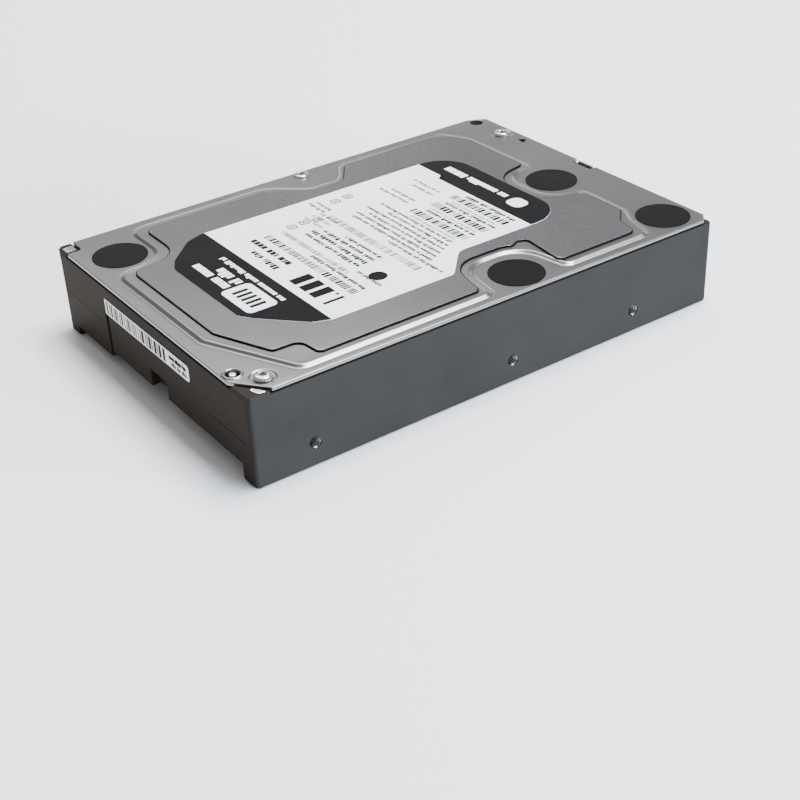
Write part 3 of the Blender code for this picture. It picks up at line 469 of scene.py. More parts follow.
def spread(tree, value, low, high):
    """A noise value's middle range, spread from a low to a high number."""
    made = node(tree, "ShaderNodeMapRange")
    for socket, limit in (("From Min", 0.3), ("From Max", 0.7), ("To Min", low), ("To Max", high)):
        made.inputs[socket].default_value = limit
    tree.links.new(value, made.inputs["Value"])
    return made.outputs["Result"]


def mix_colours(tree, factor, first, second):
    """A colour between two, by a factor."""
    made = node(tree, "ShaderNodeMix", data_type="RGBA")
    inlets = [s for s in made.inputs if s.type == "RGBA"]
    inlets[0].default_value = (*first, 1.0)
    inlets[1].default_value = (*second, 1.0)
    tree.links.new(factor, [s for s in made.inputs if s.name == "Factor"][0])
    return [s for s in made.outputs if s.type == "RGBA"][0]


def surface(name, colour, roughness, metallic, tone, patch, gloss, grain, bump, depth,
            stretch=(1.0, 1.0, 1.0), wave=None, sockets=()):
    """A finish with slow colour drift in patches, uneven gloss, fine grain and, if asked, a slow swell."""
    material = bpy.data.materials.new(name)
    material.use_nodes = True
    tree = material.node_tree
    shader = tree.nodes["Principled BSDF"]
    shader.inputs["Metallic"].default_value = metallic
    for socket in sockets:
        shader.inputs[socket].default_value = sockets[socket]
    place = node(tree, "ShaderNodeTexCoord").outputs["Object"]
    mapping = node(tree, "ShaderNodeMapping", Scale=stretch)
    tree.links.new(place, mapping.inputs["Vector"])
    drift = noise(tree, place, patch, 4.0)
    fine = noise(tree, mapping.outputs["Vector"], grain, 2.0)
    dark = tuple(c * (1.0 - tone) for c in colour)
    light = tuple(min(c * (1.0 + tone), 1.0) for c in colour)
    mixed = mix_colours(tree, spread(tree, drift, 0.0, 1.0), dark, light)
    tree.links.new(mixed, shader.inputs["Base Color"])
    uneven = node(tree, "ShaderNodeMath", operation="ADD")
    tree.links.new(spread(tree, drift, roughness - gloss, roughness + gloss), uneven.inputs[0])
    tree.links.new(spread(tree, fine, -gloss / 3, gloss / 3), uneven.inputs[1])
    tree.links.new(uneven.outputs["Value"], shader.inputs["Roughness"])
    relief = node(tree, "ShaderNodeBump", Strength=bump, Distance=depth * MM)
    tree.links.new(fine, relief.inputs["Height"])
    if wave:
        strength, scale = wave
        swell = node(tree, "ShaderNodeBump", Strength=strength, Distance=0.1 * MM)
        tree.links.new(noise(tree, place, scale, 1.0), swell.inputs["Height"])
        tree.links.new(swell.outputs["Normal"], relief.inputs["Normal"])
    tree.links.new(relief.outputs["Normal"], shader.inputs["Normal"])
    return material


def add_tool_marks(material, centre, pitch, strength):
    """Cut fine circular marks about an upright axis into a finish."""
    tree = material.node_tree
    normal = tree.nodes["Principled BSDF"].inputs["Normal"]
    place = node(tree, "ShaderNodeTexCoord").outputs["Object"]
    shift = node(tree, "ShaderNodeMapping", Location=-here(*centre, 0.0))
    tree.links.new(place, shift.inputs["Vector"])
    marks = node(tree, "ShaderNodeTexWave", wave_type="RINGS", rings_direction="Z", Scale=0.31 / (pitch * MM),
                 Distortion=0.4, Detail=1.0)
    tree.links.new(shift.outputs["Vector"], marks.inputs["Vector"])
    relief = node(tree, "ShaderNodeBump", Strength=strength, Distance=0.01 * MM)
    tree.links.new(marks.outputs["Fac"], relief.inputs["Height"])
    tree.links.new(normal.links[0].from_socket, relief.inputs["Normal"])
    tree.links.new(relief.outputs["Normal"], normal)


def make_materials():
    """Every finish, by its short name."""
    made = {}
    for key, values in FINISHES.items():
        stretch = STRETCHES.get(key, (1.0, 1.0, 1.0))
        made[key] = surface(*values, stretch=stretch, wave=WAVES.get(key), sockets=SOCKETS.get(key, {}))
    for key, (pitch, strength) in TOOL_MARKS.items():
        add_tool_marks(made[key], SPINDLE, pitch, strength)
    return made


# ---- cover and plate

def hole_rings(bm, centre, section, count):
    """Rings of a round opening through the cover, from its radius and height above the flange."""
    rings = [ring_of(bm, circle(centre, r, count), FLANGE_TOP + z) for r, z in section]
    rings.append(ring_of(bm, circle(centre, section[-1][0], count), COVER_BOTTOM))
    return rings


def sealed_recess(bm, centre):
    """Rings of the counterbore under a foil seal."""
    ledge = COVER_BOTTOM + 0.25
    sizes = [(3.0, FLANGE_TOP), (3.0, ledge), (1.6, ledge), (1.6, COVER_BOTTOM)]
    return [ring_of(bm, circle(centre, r, 32), z) for r, z in sizes]


def plain_hole(bm, points):
    """Rings of a hole with a small rounded lip."""
    lip = [(-0.15, FLANGE_TOP), (-0.04, FLANGE_TOP - 0.05)]
    rings = [ring_of(bm, inset(points, d), z) for d, z in lip]
    rings += [ring_of(bm, points, z) for z in (FLANGE_TOP - 0.18, COVER_BOTTOM)]
    return rings


def cover_shell(finish):
    """The pressed cover: flange, rounded bead, groove round the plate, dishes, holes and edges."""
    bm = bmesh.new()
    outline = rounded(FLANGE)
    edge = [(0.0, -0.3), (0.04, -0.14), (0.14, -0.04), (0.3, 0.0)]
    rim = [ring_of(bm, outline, COVER_BOTTOM)]
    rim += [ring_of(bm, inset(outline, d), FLANGE_TOP + z) for d, z in edge]
    stack(bm, rim)
    foot = rounded(FOOT)
    slope = [ring_of(bm, inset(foot, d), FLANGE_TOP + z) for d, z in BEAD]
    stack(bm, slope)
    sheet = rounded(PLATE)
    ledge = FLANGE_TOP + BEAD[-1][1]
    groove = [(-0.36, 0.0), (-0.33, -0.03), (-0.3, -0.14), (0.3, -0.14)]
    trench = [ring_of(bm, inset(sheet, d), ledge + z) for d, z in groove]
    stack(bm, trench)
    openings = []
    for centre in OPEN_SCREWS:
        openings.append(hole_rings(bm, centre, TIGHT_DISH if centre == FAR_EDGE_SCREW else WIDE_DISH, 40))
    openings += [sealed_recess(bm, c) for c in SEALED_SCREWS]
    openings.append(hole_rings(bm, LOCATING_PIN, COLLAR, 48))
    openings.append(plain_hole(bm, circle((142.3, 97.5), 2.05, 32)))
    triangle = [(142.6, 74.9, 0.3), (145.6, 76.6, 0.4), (143.4, 78.6, 0.3)]
    openings.append(plain_hole(bm, rounded(triangle, 30.0)))
    for rings in openings:
        stack(bm, rings)
    fill(bm, [rim[-1], slope[0]] + [rings[0] for rings in openings])
    fill(bm, [slope[-1], trench[0]])
    fill(bm, [trench[-1]])
    fill(bm, [rim[0]] + [rings[-1] for rings in openings])
    piece("cover_shell", bm, finish["cover"], ["top_cover"])


def damping_sheet(finish):
    """The damping plate, with a rounded edge, and a black ring all round it that is painted shade standing
    for the shadow gap at the plate's edge.
    """
    sheet = rounded(PLATE)
    edge = 0.07
    sizes = (sheet, PLATE_BOTTOM, PLATE_TOP, edge, 2)
    slab_piece("damping_sheet", [sizes], finish["plate"], ["damping_plate"])
    # Painted shade: a black ring in the groove hugging the plate's edge, put where only a shadow gap falls.
    bm = bmesh.new()
    low, high = FLANGE_TOP + 0.38, PLATE_TOP - edge
    section = [(-0.27, low), (-0.27, high - 0.05), (-0.22, high), (0.02, high), (0.02, low)]
    rings = [ring_of(bm, inset(sheet, d), z) for d, z in section]
    stack(bm, rings + rings[:1])
    piece("plate_edge_painted_shade", bm, finish["seal"])


# ---- print

def greek(boxes, x, y, along, height, rng, weight=0.62):
    """A row of illegible blocks standing for a line of print; it runs along +Y with its top towards -X."""
    end = y + along
    while y < end - height * 0.3:
        for _ in range(rng.randint(2, 8)):
            wide = height * rng.choice((0.28, 0.5, 0.5, 0.62))
            if y + wide > end:
                return
            tall = height * rng.choice((0.72, 0.72, 1.0))
            boxes.append((x + height - tall, y, x + height, y + wide * weight / 0.62))
            y += wide + height * 0.2
        y += height * 0.42


def barcode(boxes, x, y, along, height, rng, module):
    """Bars of uneven width side by side along +Y."""
    end = y + along
    while y < end:
        wide = module * rng.choice((1, 1, 2, 3))
        boxes.append((x, y, x + height, min(y + wide, end)))
        y += wide + module * rng.choice((1, 1, 2))


def box_lines(x0, y0, x1, y1, line):
    """The four strips of a rectangle's outline."""
    return [(x0, y0, x1, y0 + line), (x0, y1 - line, x1, y1), (x0, y0 + line, x0 + line, y1 - line),
            (x1 - line, y0 + line, x1, y1 - line)]


def print_piece(name, boxes, material, bottom=FILM_TOP, top=INK_TOP):
    """Flat printed marks joined into one piece."""
    bm = bmesh.new()
    for x0, y0, x1, y1 in boxes:
        block(bm, (x0, y0, bottom), (x1, y1, top))
    piece(name, bm, material, weighted=False)


def label_rows(rng):
    """Dark marks of the white field: a large heading, rows of print and barcodes, none of them legible."""
    boxes = []
    for y, wide in ((24.4, 1.1), (26.9, 0.8), (28.9, 3.2), (33.4, 3.3), (38.1, 3.2)):
        boxes.append((36.9 if wide > 1.0 else 42.1, y, 43.1, y + wide))
    greek(boxes, 37.3, 49.0, 14.0, 2.0, rng, 0.7)
    greek(boxes, 40.6, 49.0, 21.0, 2.5, rng, 0.75)
    barcode(boxes, 45.2, 24.5, 43.0, 2.3, rng, 0.32)
    for x, y, along, height in (
        (48.5, 25.0, 25.0, 1.3), (52.8, 23.8, 11.0, 1.1), (54.4, 36.5, 26.0, 1.5), (56.8, 36.5, 26.0, 1.6),
        (59.3, 36.5, 24.0, 1.5), (61.8, 36.5, 17.0, 1.3), (69.1, 19.8, 24.0, 1.1), (71.1, 27.0, 37.0, 1.15),
        (73.2, 28.0, 37.0, 1.15), (75.3, 29.0, 33.0, 1.15), (77.4, 30.0, 36.0, 1.15),
        (79.5, 31.0, 28.0, 1.15), (81.6, 32.0, 33.0, 1.15),
    ):
        greek(boxes, x, y, along, height, rng, 0.7)
    for x in (85.2, 92.2, 99.2):
        barcode(boxes, x, 31.5, 24.0, 2.6, rng, 0.38)
        greek(boxes, x + 3.3, 31.5, 22.0, 1.4, rng, 0.7)
    for x, y, along, height in (
        (87.5, 60.0, 14.0, 1.1), (89.8, 60.0, 12.0, 1.1), (96.0, 60.0, 10.0, 1.1), (98.6, 60.0, 12.0, 1.1),
        (66.0, 70.0, 8.0, 1.3), (68.2, 70.0, 7.0, 1.1),
    ):
        greek(boxes, x, y, along, height, rng)
    for x, y in ((53.5, 66.5), (57.5, 67.0), (61.5, 66.0), (72.0, 73.0), (76.5, 73.5)):
        boxes += box_lines(x, y, x + 2.6, y + 2.6, 0.4)
        boxes.append((x + 0.9, y + 0.9, x + 1.7, y + 1.7))
    return boxes


def pale_rows(rng):
    """Grey marks of the white field."""
    boxes = []
    barcode(boxes, 50.3, 35.0, 32.0, 1.6, rng, 0.34)
    barcode(boxes, 65.0, 25.0, 42.0, 2.4, rng, 0.34)
    for x in (83.4, 90.4, 97.4):
        greek(boxes, x, 33.0, 20.0, 0.9, rng)
    for x in (60.0, 62.5, 64.8):
        greek(boxes, x, 62.0, 9.0, 1.3, rng)
    return boxes


def top_label(finish):
    """The top label: film, its two dark fields and all printed marks."""
    rng = random.Random(5)
    film, ink = finish["film"], finish["ink"]
    slab_piece("label_film", [(rounded(LABEL), FILM_BOTTOM, FILM_TOP, 0.02, 1)], film, ["top_label"])
    fields = [inset(rounded(corners), 0.02) for corners in (LABEL_DARK_LEFT, LABEL_DARK_RIGHT)]
    fields = [(outline, FILM_TOP, INK_TOP, 0.005, 1) for outline in fields]
    slab_piece("label_dark_fields", fields, ink)
    print_piece("label_print", label_rows(rng), ink)
    print_piece("label_pale_print", pale_rows(rng), finish["faded_ink"])
    slab_piece("label_dot", [(circle((56.0, 28.7), 2.5, 40), FILM_TOP, INK_TOP, 0.005, 1)], ink)
    white = []
    greek(white, 21.0, 48.2, 16.3, 3.0, rng, 0.8)
    greek(white, 24.7, 48.2, 13.0, 3.0, rng, 0.8)
    greek(white, 29.4, 33.0, 31.0, 1.7, rng, 0.7)
    greek(white, 110.4, 45.5, 27.0, 2.5, rng, 0.8)
    print_piece("label_white_print", white, film, WHITE_BOTTOM, WHITE_TOP)
    marks = [panel(19.9, 32.3, 28.7, 47.0, 1.6), panel(108.9, 37.3, 114.1, 43.3, 2.1)]
    slab_piece("label_white_marks", [(rounded(m), WHITE_BOTTOM, WHITE_TOP, 0.003, 1) for m in marks], film)
    bars = [(22.0, 34.6 + 2.2 * k, 26.6, 35.9 + 2.2 * k) for k in range(5)]
    print_piece("label_dark_bars", bars, ink, WHITE_TOP - 0.0005, WHITE_TOP + 0.0008)


def end_label(finish):
    """The end label, on its face, with a barcode and rows of print."""
    rng = random.Random(11)
    low_y, high_y, low_z, high_z = 28.5, 73.8, 15.8, 20.3
    bm = bmesh.new()
    corners = [(low_y, low_z, 0.9), (high_y, low_z, 0.1), (high_y, high_z, 0.1), (low_y, high_z, 0.9)]
    outline = rounded(corners)
    capped(bm, [[bm.verts.new(here(x, p.x, p.y)) for p in outline] for x in (0.12, FILM_FACE)])
    piece("end_label_film", bm, finish["film"], ["end_label"])
    bm = bmesh.new()
    bars = []
    barcode(bars, low_z + 0.45, 40.5, 32.6, 3.6, rng, 0.42)
    for low, y0, high, y1 in bars:
        block(bm, (INK_FACE, y0, low), (FILM_FACE, y1, high))
    heading = []
    greek(heading, 0.0, 29.6, 9.5, 1.3, rng, 0.7)
    for x0, y0, x1, y1 in heading:
        block(bm, (INK_FACE, 68.1 - y1, 18.5 - x0), (FILM_FACE, 68.1 - y0, 18.3 + x1 - x0))
    for level in (16.5, 18.3):
        row = []
        greek(row, 0.0, 29.8, 8.6, 1.2, rng, 0.7)
        for x0, y0, x1, y1 in row:
            block(bm, (INK_FACE, y0, level), (FILM_FACE, y1, level + (x1 - x0)))
    piece("end_label_print", bm, finish["ink"], weighted=False)


# ---- seals and screws

def seals(finish):
    """The round foil seals over the recessed cover screws."""
    for i, centre in enumerate(SEALED_SCREWS, 1):
        disc = (circle(centre, SEAL_RADIUS, 72), FLANGE_TOP + 0.02, FLANGE_TOP + 0.16, 0.06, 2)
        slab_piece(f"foil_seal_{i}", [disc], finish["seal"], [f"sealing_disc_{i}"])


def lobed_screw(name, centre, seat, tip, finish, replaces, way=1.0, reach=2.35, tall=1.0):
    """A pan-head screw with a six-lobe socket, with its head up, or down if way is -1."""
    count = 48
    bm = bmesh.new()
    socket = lobed(centre, 0.92, 0.14, 6, count)
    side = [(1.1, -tip), (1.25, 0.4 - tip), (1.25, -0.15), (1.4, 0.0), (reach - 0.05, 0.0), (reach, 0.08),
            (reach, tall * 0.35), (reach - 0.08, tall * 0.6), (reach - 0.25, tall * 0.82),
            (reach - 0.55, tall * 0.95), (reach - 0.95, tall)]
    rings = [ring_of(bm, circle(centre, r, count), seat + way * z) for r, z in side]
    for distance, z in ((-0.08, tall), (0.0, tall - 0.06), (0.02, tall - 0.55)):
        rings.append(ring_of(bm, inset(socket, distance), seat + way * z))
    capped(bm, rings)
    piece(name, bm, finish["screw"], replaces)


def screws(finish):
    """The open cover screws, the board screws and the cover's locating pin."""
    for i, centre in enumerate(OPEN_SCREWS, 1):
        lobed_screw(f"cover_screw_look_{i}", centre, FLANGE_TOP - 0.27, 7.7, finish, [f"cover_screw_{i}"])
    for i, centre in enumerate(BOARD_SCREWS, 1):
        lobed_screw(f"board_screw_look_{i}", centre, 1.2, 4.8, finish, [f"board_screw_{i}"], -1.0, 2.3, 0.8)
    bm = bmesh.new()
    rod(bm, LOCATING_PIN, 0.95, RIM, FLANGE_TOP + 0.1, 32, 0.3)
    piece("locating_pin", bm, finish["machined"])


# ---- casting

def underside_groove(bm):
    """A ring groove in the underside round the motor's boss."""
    turned(bm, SPINDLE, [(23.2, RAIL_DEPTH - 1.0), (25.6, RAIL_DEPTH - 1.0), (25.2, RAIL_DEPTH + 0.7),
                         (23.6, RAIL_DEPTH + 0.7)], 72)


def radial_slot(bm, angle):
    """A tapered slot between two of the underside's ribs."""
    turn = math.radians(angle)
    along = Vector((math.cos(turn), math.sin(turn)))
    side = Vector((-along.y, along.x))
    near, far = Vector(SPINDLE) + along * 28.0, Vector(SPINDLE) + along * 41.0
    corners = [near - side * 3.2, far - side * 6.2, far + side * 6.2, near + side * 3.2]
    slab(bm, rounded([(c.x, c.y, 1.4) for c in corners], 20.0), RAIL_DEPTH - 1.0, RAIL_DEPTH + 0.8, 0.2, 2)


def casting_cuts():
    """Solids that cut the bays, the board's pocket, the steps, the slots and the ejector marks."""
    rail_near, rail_far = 6.2, WIDTH - 6.2
    pocket = tool(block, (55.0, rail_near, -2.0), (149.0, rail_far, BOARD_POCKET_TOP))
    keep = [tool(rod, SPINDLE, MOTOR_BOSS_RADIUS, -3.0, 10.0, 64)]
    keep += [tool(rod, c, 2.9, RAIL_DEPTH, 10.0, 32) for c in BOARD_SCREWS]
    combine(pocket, "DIFFERENCE", keep)
    cuts = [
        tool(rod, SPINDLE, DISK_BAY_RADIUS, FLOOR, 30.0, 128),
        tool(slab, rounded(ACTUATOR_BAY, 15.0), FLOOR, 30.0, 0.001, 1),
        tool(block, (-1.0, rail_near, -1.0), (148.0, rail_far, RAIL_DEPTH)),
        pocket,
        tool(block, (-1.0, 6.0, -2.0), (5.5, 74.0, 4.3)),
        tool(block, (-1.0, 42.5, -3.0), (2.6, 51.0, 9.3)),
        tool(block, (139.2, 9.5, -3.0), (150.0, 73.0, 6.9)),
        tool(block, (-1.0, 73.3, -1.0), (1.0, 74.7, 15.3)),
    ]
    cuts += [tool(rod, c, 2.6, RAIL_DEPTH - 1.0, RAIL_DEPTH + 0.25, 32) for c in EJECTOR_MARKS]
    cuts.append(tool(underside_groove))
    cuts += [tool(radial_slot, 112.0 + 34.0 * k) for k in range(5)]
    return cuts


def casting_joins():
    """Corner posts, screw seats, the post of the screw that stands in the bay, and the latch's pin."""
    near, far, end = 0.02, WIDTH - 0.02, END_FACE + 0.02
    posts = [
        [(end, 0.9, 0.0), (0.9, near, 0.0), (6.6, near, 0.4), (end, 8.6, 0.4)],
        [(end, 95.6, 0.4), (4.2, 95.6, 0.5), (4.2, far, 0.3), (1.2, far, 0.0), (end, 100.5, 0.0)],
    ]
    joins = [tool(slab, rounded(corners), RIM - 2.0, POST_TOP, 0.3, 3) for corners in posts]
    on_rim = [c for c in OPEN_SCREWS + SEALED_SCREWS if c != BAY_SCREW]
    joins += [tool(rod, c, 2.0, RIM - 2.0, SCREW_SEAT, 32) for c in on_rim]
    joins.append(tool(rod, BAY_SCREW, 2.6, FLOOR - 1.0, SCREW_SEAT, 32))
    joins.append(tool(rod, LATCH_PIN, 0.9, FLOOR - 1.0, 17.5, 24))
    return joins


def casting_holes():
    """The motor's seat and bore, the flex circuit's window, the breather and every screw hole."""
    holes = [tool(rod, SPINDLE, 17.5, 4.2, 12.0, 96), tool(rod, SPINDLE, 5.5, -1.0, 12.0, 48)]
    holes.append(tool(block, (115.0, 78.0, 1.0), (129.0, 84.0, 9.0)))
    holes.append(tool(rod, BREATHER, 0.9, 1.0, 9.0, 20))
    holes += [tool(rod, c, SCREW_HOLE_RADIUS, 14.0, 30.0, 24) for c in OPEN_SCREWS + SEALED_SCREWS]
    holes += [tool(rod, c, SCREW_HOLE_RADIUS, 1.0, 6.3, 24) for c in BOARD_SCREWS]
    for x in BOTTOM_HOLE_X:
        for y in (BOTTOM_HOLE_INSET, WIDTH - BOTTOM_HOLE_INSET):
            holes.append(tool(rod, (x, y), TAPPED_RADIUS, -1.0, BOTTOM_HOLE_DEPTH, 28))
    for x in SIDE_HOLE_X:
        for low, high in ((-PAST, SIDE_HOLE_DEPTH), (WIDTH - SIDE_HOLE_DEPTH, WIDTH + PAST)):
            sections = [(low, TAPPED_RADIUS), (high, TAPPED_RADIUS)]
            holes.append(tool(lying_rod, x, SIDE_HOLE_Z, sections))
    return holes


def casting(finish):
    """The base casting with its bays, pockets, steps, seats and tapped holes."""
    case = [(END_FACE, 0.0, 1.2), (LENGTH, 0.0, 1.6), (LENGTH, WIDTH, 1.6), (END_FACE, WIDTH, 1.6)]
    body = tool(slab, rounded(case, 15.0), 0.0, RIM, 0.001, 1)
    combine(body, "DIFFERENCE", casting_cuts())
    bevelled(body, 0.35, 3)
    creases = []
    for y0, y1, z in ((2.4, 20.5, 11.1), (76.5, 99.0, 12.3)):
        creases.append(tool(block, (-PAST, y0, z), (END_FACE + 0.07, y1, z + 0.18)))
    combine(body, "DIFFERENCE", creases)
    lips = []
    for low, high in ((6.4, 42.1), (51.4, 72.9)):
        sections = [(low, 0.3), (low + 0.2, 0.5), (high - 0.2, 0.5), (high, 0.3)]
        lips.append(tool(lying_rod, 0.56, 4.85, sections, 20))
    combine(body, "UNION", lips)
    combine(body, "UNION", casting_joins())
    combine(body, "DIFFERENCE", casting_holes())
    body.name = "casting_shell"
    carry(body, finish["casting"], ["base_casting"], sharp=28.0)


def thread_liner(name, origin, direction, depth, finish):
    """The bare tapped wall of one hole, its crests and roots as rings."""
    bm = bmesh.new()
    pitch, root, crest, wall, start, segments = 0.79, 1.66, 1.42, 1.7, 0.35, 28
    across = direction.orthogonal().normalized()
    other = direction.cross(across)
    profile = [(wall, start - 0.1), (root, start - 0.1)]
    steps = int((depth - 0.4) / pitch)
    for k in range(steps):
        for radius, part in ((crest, 0.35), (crest, 0.5), (root, 0.98)):
            profile.append((radius, start + pitch * (k + part)))
    profile.append((wall, start + pitch * steps))
    rings = []
    for radius, along in profile:
        ring = []
        for k in range(segments):
            turn = math.tau * k / segments
            out = across * math.cos(turn) + other * math.sin(turn)
            ring.append(bm.verts.new(here(*(origin + direction * along + out * radius))))
        rings.append(ring)
    stack(bm, rings + rings[:1])
    piece(name, bm, finish["thread"])


def threads(finish):
    """The tapped walls of the side and bottom mounting holes."""
    holes = []
    for x in SIDE_HOLE_X:
        for y, way in ((0.0, 1.0), (WIDTH, -1.0)):
            holes.append(((x, y, SIDE_HOLE_Z), (0.0, way, 0.0), SIDE_HOLE_DEPTH))
    for x in BOTTOM_HOLE_X:
        for y in (BOTTOM_HOLE_INSET, WIDTH - BOTTOM_HOLE_INSET):
            holes.append(((x, y, 0.0), (0.0, 0.0, 1.0), BOTTOM_HOLE_DEPTH - 0.1))
    for i, (origin, direction, depth) in enumerate(holes, 1):
        thread_liner(f"tapped_wall_{i}", Vector(origin), Vector(direction), depth, finish)


def post_tops(finish):
    """Bright machined tops of the two corner posts and the tab at the connector end."""
    near = rounded([(2.4, 4.2, 0.6), (3.4, 0.7, 0.8), (5.7, 0.3, 0.3), (3.6, 3.6, 0.9)], 15.0)
    far = rounded([(0.8, 96.6, 0.4), (3.6, 96.6, 0.4), (3.6, 99.8, 0.6), (0.8, 99.4, 0.4)])
    tops = [(near, POST_TOP - 0.2, POST_TOP + 0.1, 0.08, 2), (far, POST_TOP - 0.1, POST_TOP + 0.05, 0.02, 1)]
    slab_piece("machined_post_tops", tops, finish["machined"])
    tab = rounded(panel(146.1, 47.4, 146.8, 53.8, 0.2))
    slab_piece("latch_tab", [(tab, RIM - 0.5, FLANGE_TOP - 0.1, 0.15, 2)], finish["machined"])


# ---- circuit board

def track(bm, points, width, low, high):
    """A flat printed track along a path of points."""
    path = [Vector(p) for p in points]
    left, right = [], []
    for i, point in enumerate(path):
        into = (point - path[i - 1]).normalized() if i else (path[1] - point).normalized()
        out = (path[i + 1] - point).normalized() if i < len(path) - 1 else into
        reach = mitre(into, out) * (width / 2)
        left.append(point + reach)
        right.append(point - reach)
    slab(bm, right + left[::-1], low, high, 0.001, 1)


def route(start, end, bend):
    """A path along X, then at 45 degrees, then along X again."""
    rise = end[1] - start[1]
    way = 1.0 if end[0] > start[0] else -1.0
    return [start, (bend, start[1]), (bend + way * abs(rise), end[1]), end]


def board_tracks(finish):
    """Masked copper tracks and pours on the board's outer face."""
    bm = bmesh.new()
    low, high = BOARD_BOTTOM - 0.05, BOARD_BOTTOM + 0.02
    paths = []
    for k in range(7):
        paths.append((route((137.9, 41.0 + 1.27 * k), (113.5, 62.0 + 0.9 * k), 133.0 + 0.5 * k), 0.32))
    for k in range(12):
        paths.append(([(98.8 + 0.95 * k, 45.6), (98.8 + 0.95 * k, 58.6)], 0.28))
    for k in range(6):
        paths.append((route((96.4, 62.0 - 0.9 * k), (80.0 + 0.6 * k, 47.5 - 0.9 * k), 95.0 - 0.4 * k), 0.3))
    for k in range(5):
        paths.append(([(80.5 + 1.2 * k, 46.6 - 0.4 * k), (80.5 + 1.2 * k, 30.5)], 0.35))
    for k in range(8):
        paths.append(([(113.5 + 1.05 * k, 71.0 + 0.6 * k), (113.5 + 1.05 * k, 77.0)], 0.3))
    for k in range(9):
        paths.append((route((74.6, 56.5 + 0.9 * k), (96.5, 65.5 + 0.9 * k), 78.0 - 0.35 * k), 0.28))
    for k in range(4):
        paths.append((route((137.9, 19.0 + 2.6 * k), (116.0, 23.6 + 2.1 * k), 132.0 + 0.6 * k), 1.3))
    for points, width in paths:
        track(bm, points, width, low, high)
    for corners in (
        [(62.5, 10.5, 1.5), (74.0, 10.5, 1.5), (76.5, 18.0, 1.0), (71.5, 24.5, 1.5), (62.5, 21.5, 1.0)],
        [(91.0, 11.0, 1.0), (114.0, 11.0, 1.0), (114.0, 20.0, 1.0), (108.0, 26.0, 1.0), (91.0, 26.0, 1.0)],
        [(62.5, 80.5, 1.0), (71.0, 76.5, 1.5), (84.0, 84.0, 1.0), (84.0, 91.0, 1.0), (62.5, 91.0, 1.0)],
        [(116.5, 33.5, 1.0), (126.0, 33.5, 1.0), (130.0, 37.5, 1.0), (130.0, 41.5, 1.0), (116.5, 55.0, 1.0)],
    ):
        slab(bm, rounded(corners, 20.0), low, high, 0.001, 1)
    piece("board_tracks", bm, finish["track"], weighted=False)


def board_pads(finish):
    """Plated vias, test pads and screw lands on the board's outer face."""
    rng = random.Random(23)
    low, high = BOARD_BOTTOM - 0.08, BOARD_BOTTOM + 0.02
    rings = [(99.2 + 1.45 * i, 61.2 + 1.45 * j, 0.36, 0.15, 12) for i in range(9) for j in range(9)]
    rings += [(79.2 + 1.5 * i, 21.3 + 1.6 * j, 0.38, 0.16, 12) for i in range(6) for j in range(5)]
    rings += [(115.5 + 1.6 * i, 79.8 + 2.6 * j, 0.55, 0.2, 14) for i in range(9) for j in range(2)]
    for _ in range(46):
        x, y = rng.uniform(76.0, 136.0), rng.uniform(10.5, 91.0)
        under_chip = 97.5 < x < 113.5 and 59.5 < y < 75.0
        if not under_chip:
            rings.append((x, y, 0.3, 0.13, 12))
    bm = bmesh.new()
    for x, y, outer, inner, segments in rings:
        turned(bm, (x, y), [(outer, low), (outer, high), (inner, high), (inner, low)], segments)
    for k in range(8):
        rod(bm, (88.0 + 3.1 * k, 31.0), 0.62, low, high, 16)
        rod(bm, (90.0 + 3.1 * k, 56.6), 0.5, low, high, 16)
    for centre in BOARD_SCREWS:
        turned(bm, centre, [(3.3, low + 0.03), (3.3, high), (1.5, high), (1.5, low + 0.03)], 36)
    piece("board_plated_pads", bm, finish["gold"], weighted=False)


def board_solder(finish):
    """Domed solder joints under the plug, the jumper block and the motor's flex tail."""
    joints = [(138.3, 41.0 + 1.27 * k, 0.42) for k in range(7)]
    joints += [(138.3, 15.2 + 1.27 * k, 0.42) for k in range(15)]
    joints += [(x, 61.5 + 2.54 * k, 0.75) for x in (141.2, 143.6) for k in range(4)]
    joints += [(73.9, 46.6 + 2.6 * k, 0.85) for k in range(4)]
    dome = [(0.0, -0.42), (0.3, -0.38), (0.55, -0.24), (0.8, -0.12), (1.0, -0.05), (1.0, 0.02), (0.0, 0.02)]
    bm = bmesh.new()
    for x, y, size in joints:
        turned(bm, (x, y), [(size * out, BOARD_BOTTOM + z) for out, z in dome], 16)
    piece("board_solder_joints", bm, finish["solder"], weighted=False)


def board_print(finish):
    """White outlines and a greeked sticker on the board's outer face."""
    rng = random.Random(31)
    marks = []
    for corners in ((97.3, 59.3, 113.2, 75.2), (77.6, 19.8, 88.2, 29.5), (97.4, 35.4, 110.6, 44.7),
                    (114.3, 77.8, 129.6, 84.4)):
        marks += box_lines(*corners, 0.2)
    greek(marks, 131.0, 60.5, 16.0, 1.1, rng)
    greek(marks, 92.0, 33.0, 12.0, 1.0, rng)
    print_piece("board_print", marks, finish["film"], BOARD_BOTTOM - 0.07, BOARD_BOTTOM + 0.02)
    sticker = rounded(panel(86.5, 79.0, 110.5, 89.5, 0.8))
    sizes = (sticker, BOARD_BOTTOM - 0.12, BOARD_BOTTOM - 0.02, 0.001, 1)
    slab_piece("board_sticker", [sizes], finish["film"])
    rows = []
    barcode(rows, 88.0, 80.2, 8.2, 12.0, rng, 0.3)
    greek(rows, 102.0, 80.2, 8.2, 1.6, rng)
    greek(rows, 105.2, 80.2, 7.0, 1.6, rng)
    print_piece("board_sticker_print", rows, finish["ink"], BOARD_BOTTOM - 0.135, BOARD_BOTTOM - 0.11)


